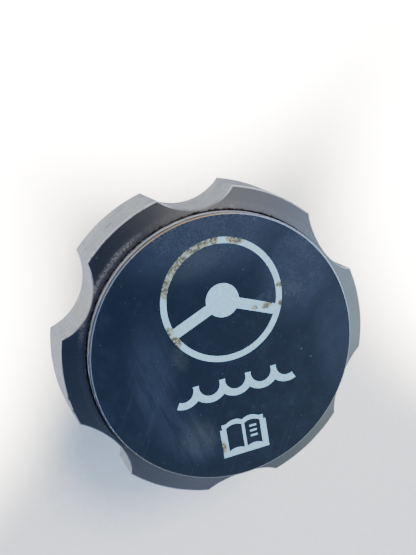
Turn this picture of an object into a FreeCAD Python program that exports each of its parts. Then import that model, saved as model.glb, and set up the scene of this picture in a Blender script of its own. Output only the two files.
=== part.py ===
"""Screw-in filler cap of a steering fluid reservoir, in millimetres.

The frame: +Z is the cap's axis and points out of the printed face, +Y points to the top of the
printed symbols, and z = 0 is the plane where the gasket meets the rim of the filler neck.
Heights below are z values in that frame.
"""

import FreeCAD, Part
import math
import os

# The printed face and the cover under it
FACE_RADIUS = 30.5
FACE_Z = 12.5
FACE_BEVEL = 0.45
FACE_THICKNESS = 0.8
COVER_RADIUS = FACE_RADIUS + FACE_BEVEL
SEAM_CHAMFER = 0.12
REGISTER_INNER = 26.0
REGISTER_OUTER = 27.6
REGISTER_DEPTH = 0.6
REGISTER_PLAY = 0.05
COVER_GAP = 0.4

# The symbols, laid out in face radii and inlaid flush with the face
INLAY_DEPTH = 0.4
PRINT_OFFSET_X = 0.025
WHEEL_Y = 0.376
WHEEL_RADIUS = 0.4635
WHEEL_RIM = 0.046
WHEEL_HUB_RADIUS = 0.127
WHEEL_SPOKE_WIDTH = 0.081
WHEEL_SPOKE_DROOP_DEG = 22.5
WAVE_PITCH = 0.205
WAVE_CRESTS = 4
WAVE_CREST_Y = -0.214
WAVE_INNER_RADIUS = 0.081
WAVE_INNER_Y = -0.233
WAVE_OUTER_RADIUS = 0.151
WAVE_OUTER_Y = -0.217
WAVE_TAIL_INNER = 0.0385
WAVE_TAIL_OUTER = 0.065
BOOK_BASE_Y = -0.840
BOOK_BLOCK_HALF = 0.184
BOOK_BLOCK_Y = -0.611
BOOK_COVER_HALF = 0.1665
BOOK_COVER_Y = -0.573
BOOK_ARCH_START = 0.130
BOOK_ARCH_PEAK = 0.070
BOOK_ARCH_Y = -0.551
BOOK_SPINE_Y = -0.570
BOOK_GUTTER_HALF = 0.0115
BOOK_PAGE_OUTER = 0.1355
BOOK_PAGE_TOP = ((BOOK_PAGE_OUTER, -0.609), (0.070, -0.588), (BOOK_GUTTER_HALF, -0.604))
BOOK_PAGE_FOOT = ((BOOK_GUTTER_HALF, -0.796), (0.065, -0.781), (BOOK_PAGE_OUTER, -0.799))
TEXT_BAR_X = (0.048, 0.104)
TEXT_BAR_HEIGHT = 0.016
TEXT_BAR_Y = (-0.640, -0.680, -0.720)

# The lobed grip
LOBES = 6
LOBE_PITCH_DEG = 360 / LOBES
LAND_Z = FACE_Z - 2.2
GRIP_FRONT_RADIUS = 36.3
GRIP_FRONT_Z = FACE_Z - 5.1
GRIP_BACK_RADIUS = 37.2
GRIP_BACK_Z = FACE_Z - 18.1
SCALLOP_RADIUS = 13.3
SCALLOP_BOTTOM = 32.0
SCALLOP_CENTRE = SCALLOP_BOTTOM + SCALLOP_RADIUS
GRIP_EDGE_ROUND = 0.25
GRIP_WALL = 2.4
RECESS_RADIUS = COVER_RADIUS + COVER_GAP
RECESS_Z = LAND_Z - 1.0
DECK_Z = RECESS_Z - GRIP_WALL
CAVITY_FRONT_RADIUS = 33.6
CAVITY_BACK_RADIUS = GRIP_BACK_RADIUS - GRIP_WALL
KEY_WIDTH = 8.0
KEY_TIP_RADIUS = 32.6
KEY_PLAY = 0.4
RIB_THICKNESS = 1.2
RIB_INNER_RADIUS = 29.8
RIB_Z = 1.2

# Stakes of the cover and screws of the body, spaced alike on the scallop centres
FASTENERS = 3
FASTENER_CIRCLE = 26.0
STAKE_RADIUS = 1.6
STAKE_HEAD_RADIUS = 2.4
STAKE_HEAD = 0.9
STAKE_PLAY = 0.1
STAKE_START_DEG = 90.0
SCREW_RADIUS = 1.1
SCREW_PLAY = 0.05
SCREW_HOLE_RADIUS = 1.45
SCREW_HEAD_RADIUS = 2.4
SCREW_HEAD = 1.5
SCREW_TIP_Z = 8.2
CROSS_RECESS_LENGTH = 2.8
CROSS_RECESS_WIDTH = 0.6
SCREW_START_DEG = 30.0
COUNTERBORE_RADIUS = 2.5
COUNTERBORE_Z = 2.8
BOSS_RADIUS = 2.9

# Broken edges of the inner pieces
EDGE_CHAMFER = 0.4
SMALL_CHAMFER = 0.3
GASKET_CHAMFER = 0.25

# The body: flange, hub, pilot land, thread and tube in one moulding
FLANGE_RADIUS = 29.0
FLANGE_LOW = 1.2
FLANGE_HIGH = 4.4
HUB_RADIUS = 22.0
CHAMBER_RADIUS = 17.0
LEDGE_HIGH = -2.0
LEDGE_LOW = -4.0
LEDGE_HOLE_RADIUS = 11.0
PILOT_RADIUS = 19.6
PILOT_HIGH = -0.2
PILOT_LOW = -4.0
PILOT_LEAD = 0.6
UNDERCUT_RADIUS = 19.3
GASKET_SEAT_Z = 2.0
GASKET_INNER = 19.7
GASKET_OUTER = 22.8
GASKET_GROOVE_OUTER = 22.9
THREAD_MAJOR_RADIUS = 19.0
THREAD_ROOT_RADIUS = 17.4
THREAD_PITCH = 3.0
THREAD_TURNS = 3.25
THREAD_START_Z = -15.6
THREAD_ROOT_WIDTH = 2.0
THREAD_CREST_WIDTH = 0.8
TUBE_RADIUS = 17.2
TUBE_END_Z = -26.0
BORE_RADIUS = 15.0
VENT_WIDTH = 3.0
VENT_LOW = 5.2

# The breather filter and its retainer
FILTER_RADIUS = 16.9
FILTER_TOP = 3.4
RETAINER_TOP = 4.9
RETAINER_INNER = 14.2
RETAINER_BAR = 2.0
RETAINER_HUB_RADIUS = 3.0

# The valve set
HOUSING_RADIUS = 14.9
HOUSING_INNER = 12.6
HOUSING_LOW = -20.0
HOUSING_FLOOR = -18.0
PORT_RADIUS = 6.0
LIP_INNER = 6.6
LIP_OUTER = 7.4
SEAT_Z = -17.2
O_RING_MAJOR = 14.05
O_RING_MINOR = 0.85
O_RING_Z = -9.0
O_RING_GROOVE_RADIUS = 13.2
O_RING_GROOVE = 2.2
SPRING_PLATE_LOW = -6.0
SPRING_PLATE_HIGH = -4.8
SPRING_PLATE_RADIUS = 12.5
SPRING_PLATE_RIM = 1.3
SPRING_PLATE_HOLE = 5.6
SPRING_PLATE_SLOT = (9.0, 10.6)
SLOT_SPAN_DEG = 40.0
VALVE_PLATE_LOW = -16.4
VALVE_PLATE_HIGH = -15.0
VALVE_PLATE_RADIUS = 8.8
SEAL_INNER = 5.7
SEAL_OUTER = 8.6
GUIDE_RING = (6.2, 6.6)
GUIDE_RING_HEIGHT = 0.8
VALVE_HUB_RADIUS = 2.2
VALVE_HUB_HIGH = -11.0
STEM_RADIUS = 1.45
STEM_PLAY = 0.05
PORTS = 6
PORT_HOLE_RADIUS = 0.5
PORT_CIRCLE = 3.2
PRESSURE_SPRING = (7.4, 0.4, 4.5)
VACUUM_HEAD_RADIUS = 4.6
VACUUM_HEAD_LOW = -18.4
VACUUM_SEAL_OUTER = 4.4
STEM_TOP = -7.4
CLIP_LOW = -9.0
CLIP_HIGH = -8.2
CLIP_RADIUS = 5.0
CLIP_GROOVE_RADIUS = 1.1
VACUUM_SPRING = (4.3, 0.22, 5.5)
SPRING_END_PLAY = 0.03

# The strainer, the baffle and the ring that holds them in the tube
SCREEN_RADIUS = 14.8
SCREEN_LOW = -20.4
SCREEN_HOLE_RADIUS = 0.6
SCREEN_HOLE_PITCH = 2.0
SCREEN_FIELD_RADIUS = 12.4
BAFFLE_LOW = -23.0
BAFFLE_PLATE = 1.3
BAFFLE_RIM = 1.3
BAFFLE_SLOT = (7.2, 11.8)
RETAINING_LOW = -24.2
RETAINING_GROOVE_RADIUS = 15.8
RETAINING_INNER = 13.8
RETAINING_OUTER = 15.7
RETAINING_OPENING_DEG = 28.0
EAR_RADIUS = 1.5
EAR_HOLE_RADIUS = 0.6

AXIS = FreeCAD.Vector(0, 0, 1)
ORIGIN = FreeCAD.Vector(0, 0, 0)


def tube(outer, inner, low, high):
    """A ring about the axis between two heights."""
    solid = Part.makeCylinder(outer, high - low, FreeCAD.Vector(0, 0, low))
    if inner <= 0:
        return solid
    return solid.cut(Part.makeCylinder(inner, high - low, FreeCAD.Vector(0, 0, low)))


def turned(outline):
    """The solid swept by a closed outline of (radius, height) points about the axis."""
    points = [FreeCAD.Vector(radius, 0, height) for radius, height in outline]
    face = Part.Face(Part.makePolygon(points + points[:1]))
    return face.revolve(ORIGIN, AXIS, 360)


def block(x0, x1, width, low, high):
    """A box along +X, centred on the X axis, between two radii and two heights."""
    corner = FreeCAD.Vector(x0, -width / 2, low)
    return Part.makeBox(x1 - x0, width, high - low, corner)


def post(radius, distance, low, high):
    """A cylinder that stands at a distance along +X, parallel to the axis."""
    return Part.makeCylinder(radius, high - low, FreeCAD.Vector(distance, 0, low))


def turned_copies(shape, count, start_deg=0.0):
    """Copies of a shape, evenly spaced about the axis."""
    copies = []
    for index in range(count):
        copy = shape.copy()
        copy.rotate(ORIGIN, AXIS, start_deg + index * 360 / count)
        copies.append(copy)
    return copies


def arc_slot(inner, outer, span_deg, low, high):
    """A curved slot centred on +X, cut square at both ends."""
    ring = tube(outer, inner, low, high)
    wedge = Part.makeCylinder(outer + 1, high - low, FreeCAD.Vector(0, 0, low), AXIS, span_deg)
    wedge.rotate(ORIGIN, AXIS, -span_deg / 2)
    return ring.common(wedge)


def coil(mean_radius, wire_radius, turns, low, high):
    """A compression spring whose two ends are ground flat."""
    pitch = (high - low + wire_radius) / turns
    start = low - wire_radius / 2
    helix = Part.makeHelix(pitch, pitch * turns, mean_radius)
    helix.translate(FreeCAD.Vector(0, 0, start))
    centre = FreeCAD.Vector(mean_radius, 0, start)
    section = Part.Wire([Part.makeCircle(wire_radius, centre, FreeCAD.Vector(0, 1, 0))])
    wire = Part.Wire(helix).makePipeShell([section], True, True)
    margin = 4 * wire_radius
    return wire.common(tube(mean_radius + margin, mean_radius - margin, low, high))


def write(name, shape):
    """Write one sub-part, and say its size."""
    shape.exportStep(f"parts/{name}.step")
    box = shape.BoundBox
    print(f"{name}: {len(shape.Solids)} solid(s), valid {shape.isValid()},"
          f" {box.XLength:.1f} x {box.YLength:.1f} x {box.ZLength:.1f} mm, {shape.Volume:.0f} mm3")


# The symbols

def flat_point(x, y):
    """A point of a symbol, given in face radii, at the floor of the inlay."""
    return FreeCAD.Vector((x + PRINT_OFFSET_X) * FACE_RADIUS, y * FACE_RADIUS, FACE_Z - INLAY_DEPTH)


def inlay(edges):
    """A closed flat outline made as thick as the inlay."""
    face = Part.Face(Part.Wire(Part.__sortEdges__(edges)))
    return face.extrude(AXIS * INLAY_DEPTH)


def line(start, end):
    """A straight edge of a symbol."""
    return Part.makeLine(flat_point(*start), flat_point(*end))


def arc(start, middle, end):
    """A round edge of a symbol, through three points."""
    return Part.Arc(flat_point(*start), flat_point(*middle), flat_point(*end)).toShape()


def on_circle(x, centre_x, centre_y, radius):
    """The point at x on the lower half of a circle."""
    return x, centre_y - math.sqrt(radius ** 2 - (x - centre_x) ** 2)


def wheel_symbol():
    """A steering wheel: a rim, a hub and two drooping spokes."""
    centre = flat_point(0, WHEEL_Y)
    size = FACE_RADIUS
    rim = Part.makeCylinder(WHEEL_RADIUS * size, INLAY_DEPTH, centre)
    opening = Part.makeCylinder((WHEEL_RADIUS - WHEEL_RIM) * size, INLAY_DEPTH, centre)
    hub = Part.makeCylinder(WHEEL_HUB_RADIUS * size, INLAY_DEPTH, centre)
    width = WHEEL_SPOKE_WIDTH * size
    length = (WHEEL_RADIUS - WHEEL_RIM / 2) * size
    spokes = []
    for angle in (-WHEEL_SPOKE_DROOP_DEG, 180 + WHEEL_SPOKE_DROOP_DEG):
        spoke = Part.makeBox(length, width, INLAY_DEPTH, centre - FreeCAD.Vector(0, width / 2, 0))
        spoke.rotate(centre, AXIS, angle)
        spokes.append(spoke)
    return rim.cut(opening).fuse([hub] + spokes).removeSplitter()


def level_symbol():
    """A row of waves: crests with flat tops between round troughs, and a tail at each end."""
    first = -WAVE_PITCH * (WAVE_CRESTS - 1) / 2
    crests = [first + WAVE_PITCH * index for index in range(WAVE_CRESTS)]
    troughs = [first + WAVE_PITCH * (index - 0.5) for index in range(WAVE_CRESTS + 1)]
    reach = math.sqrt(WAVE_INNER_RADIUS ** 2 - (WAVE_CREST_Y - WAVE_INNER_Y) ** 2)
    edges = []
    for index, trough in enumerate(troughs):
        first_tail = index == 0
        last_tail = index == WAVE_CRESTS
        top_left = (trough - reach, WAVE_CREST_Y)
        top_right = (trough + reach, WAVE_CREST_Y)
        notch_left = on_circle(trough - WAVE_PITCH / 2, trough, WAVE_OUTER_Y, WAVE_OUTER_RADIUS)
        notch_right = on_circle(trough + WAVE_PITCH / 2, trough, WAVE_OUTER_Y, WAVE_OUTER_RADIUS)
        if first_tail:
            top_left = on_circle(trough - WAVE_TAIL_INNER, trough, WAVE_INNER_Y, WAVE_INNER_RADIUS)
            notch_left = on_circle(trough - WAVE_TAIL_OUTER, trough, WAVE_OUTER_Y, WAVE_OUTER_RADIUS)
            edges.append(line(top_left, notch_left))
        if last_tail:
            top_right = on_circle(trough + WAVE_TAIL_INNER, trough, WAVE_INNER_Y, WAVE_INNER_RADIUS)
            notch_right = on_circle(trough + WAVE_TAIL_OUTER, trough, WAVE_OUTER_Y, WAVE_OUTER_RADIUS)
            edges.append(line(top_right, notch_right))
        edges.append(arc(top_left, (trough, WAVE_INNER_Y - WAVE_INNER_RADIUS), top_right))
        edges.append(arc(notch_left, (trough, WAVE_OUTER_Y - WAVE_OUTER_RADIUS), notch_right))
    half_top = WAVE_PITCH / 2 - reach
    for crest in crests:
        edges.append(line((crest - half_top, WAVE_CREST_Y), (crest + half_top, WAVE_CREST_Y)))
    return inlay(edges)


def manual_symbol():
    """An open book: a stepped cover with arched pages, and three plain bars on its right page."""
    edges = [line((-BOOK_BLOCK_HALF, BOOK_BASE_Y), (BOOK_BLOCK_HALF, BOOK_BASE_Y))]
    for side in (-1, 1):
        corners = [(side * BOOK_BLOCK_HALF, BOOK_BASE_Y), (side * BOOK_BLOCK_HALF, BOOK_BLOCK_Y),
                   (side * BOOK_COVER_HALF, BOOK_BLOCK_Y), (side * BOOK_COVER_HALF, BOOK_COVER_Y),
                   (side * BOOK_ARCH_START, BOOK_COVER_Y)]
        for start, end in zip(corners, corners[1:]):
            edges.append(line(start, end))
        edges.append(arc(corners[-1], (side * BOOK_ARCH_PEAK, BOOK_ARCH_Y), (0, BOOK_SPINE_Y)))
    book = inlay(edges)
    for side in (-1, 1):
        top = [(side * x, y) for x, y in BOOK_PAGE_TOP]
        foot = [(side * x, y) for x, y in BOOK_PAGE_FOOT]
        book = book.cut(inlay([arc(*top), line(top[-1], foot[0]), arc(*foot), line(foot[-1], top[0])]))
    bars = []
    for y in TEXT_BAR_Y:
        corner = flat_point(TEXT_BAR_X[0], y - TEXT_BAR_HEIGHT / 2)
        length = (TEXT_BAR_X[1] - TEXT_BAR_X[0]) * FACE_RADIUS
        bars.append(Part.makeBox(length, TEXT_BAR_HEIGHT * FACE_RADIUS, INLAY_DEPTH, corner))
    return Part.makeCompound(book.Solids + bars)


# The face and the cover

def face_disc(symbols):
    """The glossy face plate, with a pocket for each symbol and a register ring underneath."""
    low = FACE_Z - FACE_THICKNESS
    disc = turned([
        (0, low), (COVER_RADIUS - SEAM_CHAMFER, low), (COVER_RADIUS, low + SEAM_CHAMFER),
        (COVER_RADIUS, FACE_Z - FACE_BEVEL), (FACE_RADIUS, FACE_Z), (0, FACE_Z),
    ])
    register = tube(REGISTER_OUTER - REGISTER_PLAY, REGISTER_INNER + REGISTER_PLAY,
                    low - REGISTER_DEPTH + REGISTER_PLAY, low)
    disc = disc.fuse(register)
    for symbol in symbols:
        disc = disc.cut(symbol)
    return disc


def cover_base():
    """The carrier under the face plate, staked through the deck of the grip."""
    high = FACE_Z - FACE_THICKNESS
    base = turned([
        (0, RECESS_Z), (COVER_RADIUS, RECESS_Z), (COVER_RADIUS, high - SEAM_CHAMFER),
        (COVER_RADIUS - SEAM_CHAMFER, high), (0, high),
    ])
    base = base.cut(tube(REGISTER_OUTER, REGISTER_INNER, high - REGISTER_DEPTH, high))
    base = base.cut(tube(HUB_RADIUS, 0, RECESS_Z, RECESS_Z + REGISTER_DEPTH))
    stake = post(STAKE_RADIUS, FASTENER_CIRCLE, DECK_Z - STAKE_HEAD, RECESS_Z)
    head = post(STAKE_HEAD_RADIUS, FASTENER_CIRCLE, DECK_Z - STAKE_HEAD, DECK_Z)
    head = head.makeFillet(STAKE_HEAD / 2, [head.Edges[2]])
    return base.fuse(turned_copies(stake.fuse(head), FASTENERS, STAKE_START_DEG))


# The grip

def near(value, target):
    """Are two lengths the same, apart from rounding?"""
    return abs(value - target) < 1e-3


def outer_edge(edge):
    """Is this an edge that a hand feels: a lobe's rim, or a border of a scallop?"""
    middle = edge.CenterOfMass
    radius = math.hypot(middle.x, middle.y)
    flat = near(edge.BoundBox.ZLength, 0)
    if flat:
        return near(middle.z, GRIP_FRONT_Z) or near(middle.z, GRIP_BACK_Z)
    return radius > SCALLOP_BOTTOM - 1


def grip_outside():
    """The filled outer form: six lobes between scallops, with a sloping land at the front."""
    form = turned([
        (0, RECESS_Z), (RECESS_RADIUS, RECESS_Z), (RECESS_RADIUS, LAND_Z),
        (GRIP_FRONT_RADIUS, GRIP_FRONT_Z), (GRIP_BACK_RADIUS, GRIP_BACK_Z), (0, GRIP_BACK_Z),
    ])
    scallop = post(SCALLOP_RADIUS, SCALLOP_CENTRE, GRIP_BACK_Z - 1, FACE_Z)
    form = form.cut(turned_copies(scallop, LOBES, LOBE_PITCH_DEG / 2))
    return form.makeFillet(GRIP_EDGE_ROUND, [edge for edge in form.Edges if outer_edge(edge)])


def grip_cavity():
    """The hollow under the deck, which keeps an even wall along lobes and scallops."""
    hollow = turned([
        (0, DECK_Z), (CAVITY_FRONT_RADIUS, DECK_Z), (CAVITY_BACK_RADIUS, GRIP_BACK_Z), (0, GRIP_BACK_Z),
    ])
    wall = post(SCALLOP_RADIUS + GRIP_WALL, SCALLOP_CENTRE, GRIP_BACK_Z - 1, FACE_Z)
    return hollow.cut(turned_copies(wall, LOBES, LOBE_PITCH_DEG / 2))


def grip_shell():
    """The lobed grip, with a pair of ribs in each lobe that drives a key of the body."""
    outside = grip_outside()
    rib = block(RIB_INNER_RADIUS, GRIP_BACK_RADIUS, RIB_THICKNESS, RIB_Z, DECK_Z)
    ribs = []
    for side in (-1, 1):
        moved = rib.copy()
        moved.translate(FreeCAD.Vector(0, side * (KEY_WIDTH / 2 + KEY_PLAY + RIB_THICKNESS / 2), 0))
        ribs += turned_copies(moved, LOBES)
    ribs = [piece.common(grip_cavity()) for piece in ribs]
    boss = post(BOSS_RADIUS, FASTENER_CIRCLE, FLANGE_HIGH, DECK_Z)
    bosses = turned_copies(boss, FASTENERS, SCREW_START_DEG)
    pilot = post(SCREW_RADIUS + SCREW_PLAY, FASTENER_CIRCLE, FLANGE_HIGH, SCREW_TIP_Z + SCREW_PLAY)
    stake_hole = post(STAKE_RADIUS + STAKE_PLAY, FASTENER_CIRCLE, DECK_Z, RECESS_Z)
    grip = outside.cut(grip_cavity()).fuse(ribs + bosses)
    grip = grip.cut(turned_copies(pilot, FASTENERS, SCREW_START_DEG))
    return grip.cut(turned_copies(stake_hole, FASTENERS, STAKE_START_DEG)).removeSplitter()


def grip_screws():
    """Thread-forming screws with cross recesses, driven from below."""
    head_low = COUNTERBORE_Z - SCREW_HEAD
    shank = post(SCREW_RADIUS, FASTENER_CIRCLE, COUNTERBORE_Z, SCREW_TIP_Z)
    head = post(SCREW_HEAD_RADIUS, FASTENER_CIRCLE, head_low, COUNTERBORE_Z)
    head = head.makeFillet(SCREW_HEAD / 3, [head.Edges[2]])
    slots = ((CROSS_RECESS_LENGTH, CROSS_RECESS_WIDTH), (CROSS_RECESS_WIDTH, CROSS_RECESS_LENGTH))
    cross = [block(FASTENER_CIRCLE - length / 2, FASTENER_CIRCLE + length / 2, width,
                   head_low - 1, head_low + SCREW_HEAD / 2) for length, width in slots]
    screw = head.fuse(shank).cut(cross)
    return Part.makeCompound(turned_copies(screw, FASTENERS, SCREW_START_DEG))


# The body

def body_thread():
    """The raised helix of the external thread, with ends cut square."""
    half_root = THREAD_ROOT_WIDTH / 2
    half_crest = THREAD_CREST_WIDTH / 2
    sunk = THREAD_ROOT_RADIUS - 0.2
    outline = [(sunk, -half_root), (THREAD_MAJOR_RADIUS, -half_crest),
               (THREAD_MAJOR_RADIUS, half_crest), (sunk, half_root)]
    points = [FreeCAD.Vector(radius, 0, THREAD_START_Z + height) for radius, height in outline]
    section = Part.makePolygon(points + points[:1])
    helix = Part.makeHelix(THREAD_PITCH, THREAD_PITCH * THREAD_TURNS, THREAD_ROOT_RADIUS)
    helix.translate(FreeCAD.Vector(0, 0, THREAD_START_Z))
    return Part.Wire(helix).makePipeShell([section], True, True)


def cap_body():
    """Flange, hub and hollow threaded plug, with drive keys, vents and a ledge for the filter."""
    lead = THREAD_MAJOR_RADIUS - TUBE_RADIUS
    core = turned([
        (BORE_RADIUS, TUBE_END_Z), (TUBE_RADIUS - 1, TUBE_END_Z), (TUBE_RADIUS, TUBE_END_Z + 1),
        (TUBE_RADIUS, THREAD_START_Z - lead), (THREAD_ROOT_RADIUS, THREAD_START_Z - lead),
        (THREAD_ROOT_RADIUS, PILOT_LOW - 1), (PILOT_RADIUS - PILOT_LEAD, PILOT_LOW - PILOT_LEAD),
        (PILOT_RADIUS, PILOT_LOW), (PILOT_RADIUS, PILOT_HIGH), (UNDERCUT_RADIUS, PILOT_HIGH),
        (UNDERCUT_RADIUS, GASKET_SEAT_Z), (GASKET_GROOVE_OUTER, GASKET_SEAT_Z),
        (GASKET_GROOVE_OUTER, FLANGE_LOW), (FLANGE_RADIUS - EDGE_CHAMFER, FLANGE_LOW),
        (FLANGE_RADIUS, FLANGE_LOW + EDGE_CHAMFER), (FLANGE_RADIUS, FLANGE_HIGH), (HUB_RADIUS, FLANGE_HIGH),
        (HUB_RADIUS, DECK_Z), (CHAMBER_RADIUS, DECK_Z), (CHAMBER_RADIUS, LEDGE_HIGH),
        (LEDGE_HOLE_RADIUS, LEDGE_HIGH), (LEDGE_HOLE_RADIUS, LEDGE_LOW), (BORE_RADIUS, LEDGE_LOW),
        (BORE_RADIUS, BAFFLE_LOW), (RETAINING_GROOVE_RADIUS, BAFFLE_LOW),
        (RETAINING_GROOVE_RADIUS, RETAINING_LOW), (BORE_RADIUS, RETAINING_LOW),
    ])
    key = block(FLANGE_RADIUS - 2, KEY_TIP_RADIUS, KEY_WIDTH, FLANGE_LOW, FLANGE_HIGH)
    tip_edges = [edge for edge in key.Edges if near(edge.CenterOfMass.x, KEY_TIP_RADIUS)]
    key = key.makeChamfer(EDGE_CHAMFER, tip_edges)
    body = core.fuse([body_thread()] + turned_copies(key, LOBES))
    vent = block(CHAMBER_RADIUS - 1, HUB_RADIUS + 1, VENT_WIDTH, VENT_LOW, DECK_Z + 1)
    hole = post(SCREW_HOLE_RADIUS, FASTENER_CIRCLE, FLANGE_LOW - 1, FLANGE_HIGH + 1)
    bore = post(COUNTERBORE_RADIUS, FASTENER_CIRCLE, FLANGE_LOW - 1, COUNTERBORE_Z)
    cuts = turned_copies(vent, LOBES)
    cuts += turned_copies(hole.fuse(bore), FASTENERS, SCREW_START_DEG)
    return body.cut(cuts).removeSplitter()


def neck_gasket():
    """The flat rubber ring that the neck's rim presses into its groove."""
    ring = tube(GASKET_OUTER, GASKET_INNER, 0, GASKET_SEAT_Z)
    seat_edges = [edge for edge in ring.Edges if near(edge.BoundBox.ZMin, GASKET_SEAT_Z)]
    return ring.makeChamfer(GASKET_CHAMFER, seat_edges)


def breather_filter():
    """The foam disc between the vents and the valves."""
    return turned([
        (0, LEDGE_HIGH), (FILTER_RADIUS - EDGE_CHAMFER, LEDGE_HIGH),
        (FILTER_RADIUS, LEDGE_HIGH + EDGE_CHAMFER), (FILTER_RADIUS, FILTER_TOP - EDGE_CHAMFER),
        (FILTER_RADIUS - EDGE_CHAMFER, FILTER_TOP), (0, FILTER_TOP),
    ])


def filter_retainer():
    """An open ring with three bars, pushed into the chamber on top of the filter."""
    ring = tube(CHAMBER_RADIUS - 0.05, RETAINER_INNER, FILTER_TOP, RETAINER_TOP)
    hub = tube(RETAINER_HUB_RADIUS, 0, FILTER_TOP, RETAINER_TOP)
    bar = block(RETAINER_HUB_RADIUS - 1, RETAINER_INNER + 0.5, RETAINER_BAR, FILTER_TOP, RETAINER_TOP)
    return ring.fuse([hub] + turned_copies(bar, FASTENERS)).removeSplitter()


# The valve set

def valve_housing():
    """The cup that holds both valves, with a raised seat lip round its port."""
    groove_low = O_RING_Z - O_RING_GROOVE / 2
    groove_high = O_RING_Z + O_RING_GROOVE / 2
    return turned([
        (PORT_RADIUS, HOUSING_LOW), (HOUSING_RADIUS, HOUSING_LOW), (HOUSING_RADIUS, groove_low),
        (O_RING_GROOVE_RADIUS, groove_low), (O_RING_GROOVE_RADIUS, groove_high),
        (HOUSING_RADIUS, groove_high), (HOUSING_RADIUS, LEDGE_LOW), (HOUSING_INNER, LEDGE_LOW),
        (HOUSING_INNER, HOUSING_FLOOR), (LIP_OUTER, HOUSING_FLOOR), (LIP_OUTER, SEAT_Z),
        (LIP_INNER, SEAT_Z), (LIP_INNER, HOUSING_FLOOR), (PORT_RADIUS, HOUSING_FLOOR),
    ])


def housing_o_ring():
    """The seal between the valve housing and the bore."""
    return Part.makeTorus(O_RING_MAJOR, O_RING_MINOR, FreeCAD.Vector(0, 0, O_RING_Z), AXIS)


def spring_plate():
    """The slotted plate that the pressure spring pushes up against the ledge of the body."""
    rim_inner = SPRING_PLATE_RADIUS - SPRING_PLATE_RIM
    plate = turned([
        (SPRING_PLATE_HOLE, SPRING_PLATE_LOW), (SPRING_PLATE_RADIUS, SPRING_PLATE_LOW),
        (SPRING_PLATE_RADIUS, LEDGE_LOW), (rim_inner, LEDGE_LOW), (rim_inner, SPRING_PLATE_HIGH),
        (SPRING_PLATE_HOLE, SPRING_PLATE_HIGH),
    ])
    slot = arc_slot(*SPRING_PLATE_SLOT, SLOT_SPAN_DEG, SPRING_PLATE_LOW - 1, LEDGE_LOW)
    return plate.cut(turned_copies(slot, LOBES))


def pressure_valve():
    """The plate that lifts under pressure, with a guide hub and ports for the vacuum valve."""
    plate = tube(VALVE_PLATE_RADIUS, 0, VALVE_PLATE_LOW, VALVE_PLATE_HIGH)
    ring = tube(GUIDE_RING[1], GUIDE_RING[0], VALVE_PLATE_HIGH, VALVE_PLATE_HIGH + GUIDE_RING_HEIGHT)
    hub = tube(VALVE_HUB_RADIUS, 0, VALVE_PLATE_HIGH, VALVE_HUB_HIGH)
    bore = tube(STEM_RADIUS + STEM_PLAY, 0, VALVE_PLATE_LOW - 1, VALVE_HUB_HIGH + 1)
    ports = turned_copies(post(PORT_HOLE_RADIUS, PORT_CIRCLE, VALVE_PLATE_LOW, VALVE_PLATE_HIGH), PORTS)
    return plate.fuse([ring, hub]).cut([bore] + ports)


def vacuum_valve():
    """A head and a stem in one piece, with a groove near the top for its clip."""
    return turned([
        (0, VACUUM_HEAD_LOW), (VACUUM_HEAD_RADIUS - SMALL_CHAMFER, VACUUM_HEAD_LOW),
        (VACUUM_HEAD_RADIUS, VACUUM_HEAD_LOW + SMALL_CHAMFER), (VACUUM_HEAD_RADIUS, SEAT_Z),
        (STEM_RADIUS, SEAT_Z), (STEM_RADIUS, CLIP_LOW), (CLIP_GROOVE_RADIUS, CLIP_LOW),
        (CLIP_GROOVE_RADIUS, CLIP_HIGH), (STEM_RADIUS, CLIP_HIGH), (STEM_RADIUS, STEM_TOP - EDGE_CHAMFER),
        (STEM_RADIUS - EDGE_CHAMFER, STEM_TOP), (0, STEM_TOP),
    ])


def stem_clip():
    """The slotted washer that slides into the stem's groove and takes the vacuum spring."""
    washer = tube(CLIP_RADIUS, CLIP_GROOVE_RADIUS, CLIP_LOW, CLIP_HIGH)
    return washer.cut(block(0, CLIP_RADIUS + 1, 2 * CLIP_GROOVE_RADIUS, CLIP_LOW, CLIP_HIGH))


# The strainer, the baffle and the retaining ring

def strainer_screen():
    """A perforated disc, with its holes on a triangular grid."""
    screen = tube(SCREEN_RADIUS, 0, SCREEN_LOW, HOUSING_LOW)
    row_pitch = SCREEN_HOLE_PITCH * math.sqrt(3) / 2
    rows = int(SCREEN_FIELD_RADIUS / row_pitch)
    holes = []
    for row in range(-rows, rows + 1):
        shift = SCREEN_HOLE_PITCH / 2 * (row % 2)
        for column in range(-rows - 2, rows + 3):
            x = column * SCREEN_HOLE_PITCH + shift
            y = row * row_pitch
            if math.hypot(x, y) < SCREEN_FIELD_RADIUS:
                base = FreeCAD.Vector(x, y, SCREEN_LOW)
                holes.append(Part.makeCylinder(SCREEN_HOLE_RADIUS, HOUSING_LOW - SCREEN_LOW, base))
    return screen.cut(holes)


def splash_baffle():
    """A slotted plate with a raised rim that carries the strainer."""
    floor = BAFFLE_LOW + BAFFLE_PLATE
    rim_inner = SCREEN_RADIUS - BAFFLE_RIM
    plate = turned([
        (0, BAFFLE_LOW), (SCREEN_RADIUS - SMALL_CHAMFER, BAFFLE_LOW),
        (SCREEN_RADIUS, BAFFLE_LOW + SMALL_CHAMFER),
        (SCREEN_RADIUS, SCREEN_LOW), (rim_inner, SCREEN_LOW), (rim_inner, floor), (0, floor),
    ])
    slot = arc_slot(*BAFFLE_SLOT, SLOT_SPAN_DEG, BAFFLE_LOW - 1, floor + 1)
    return plate.cut(turned_copies(slot, LOBES))


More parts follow.
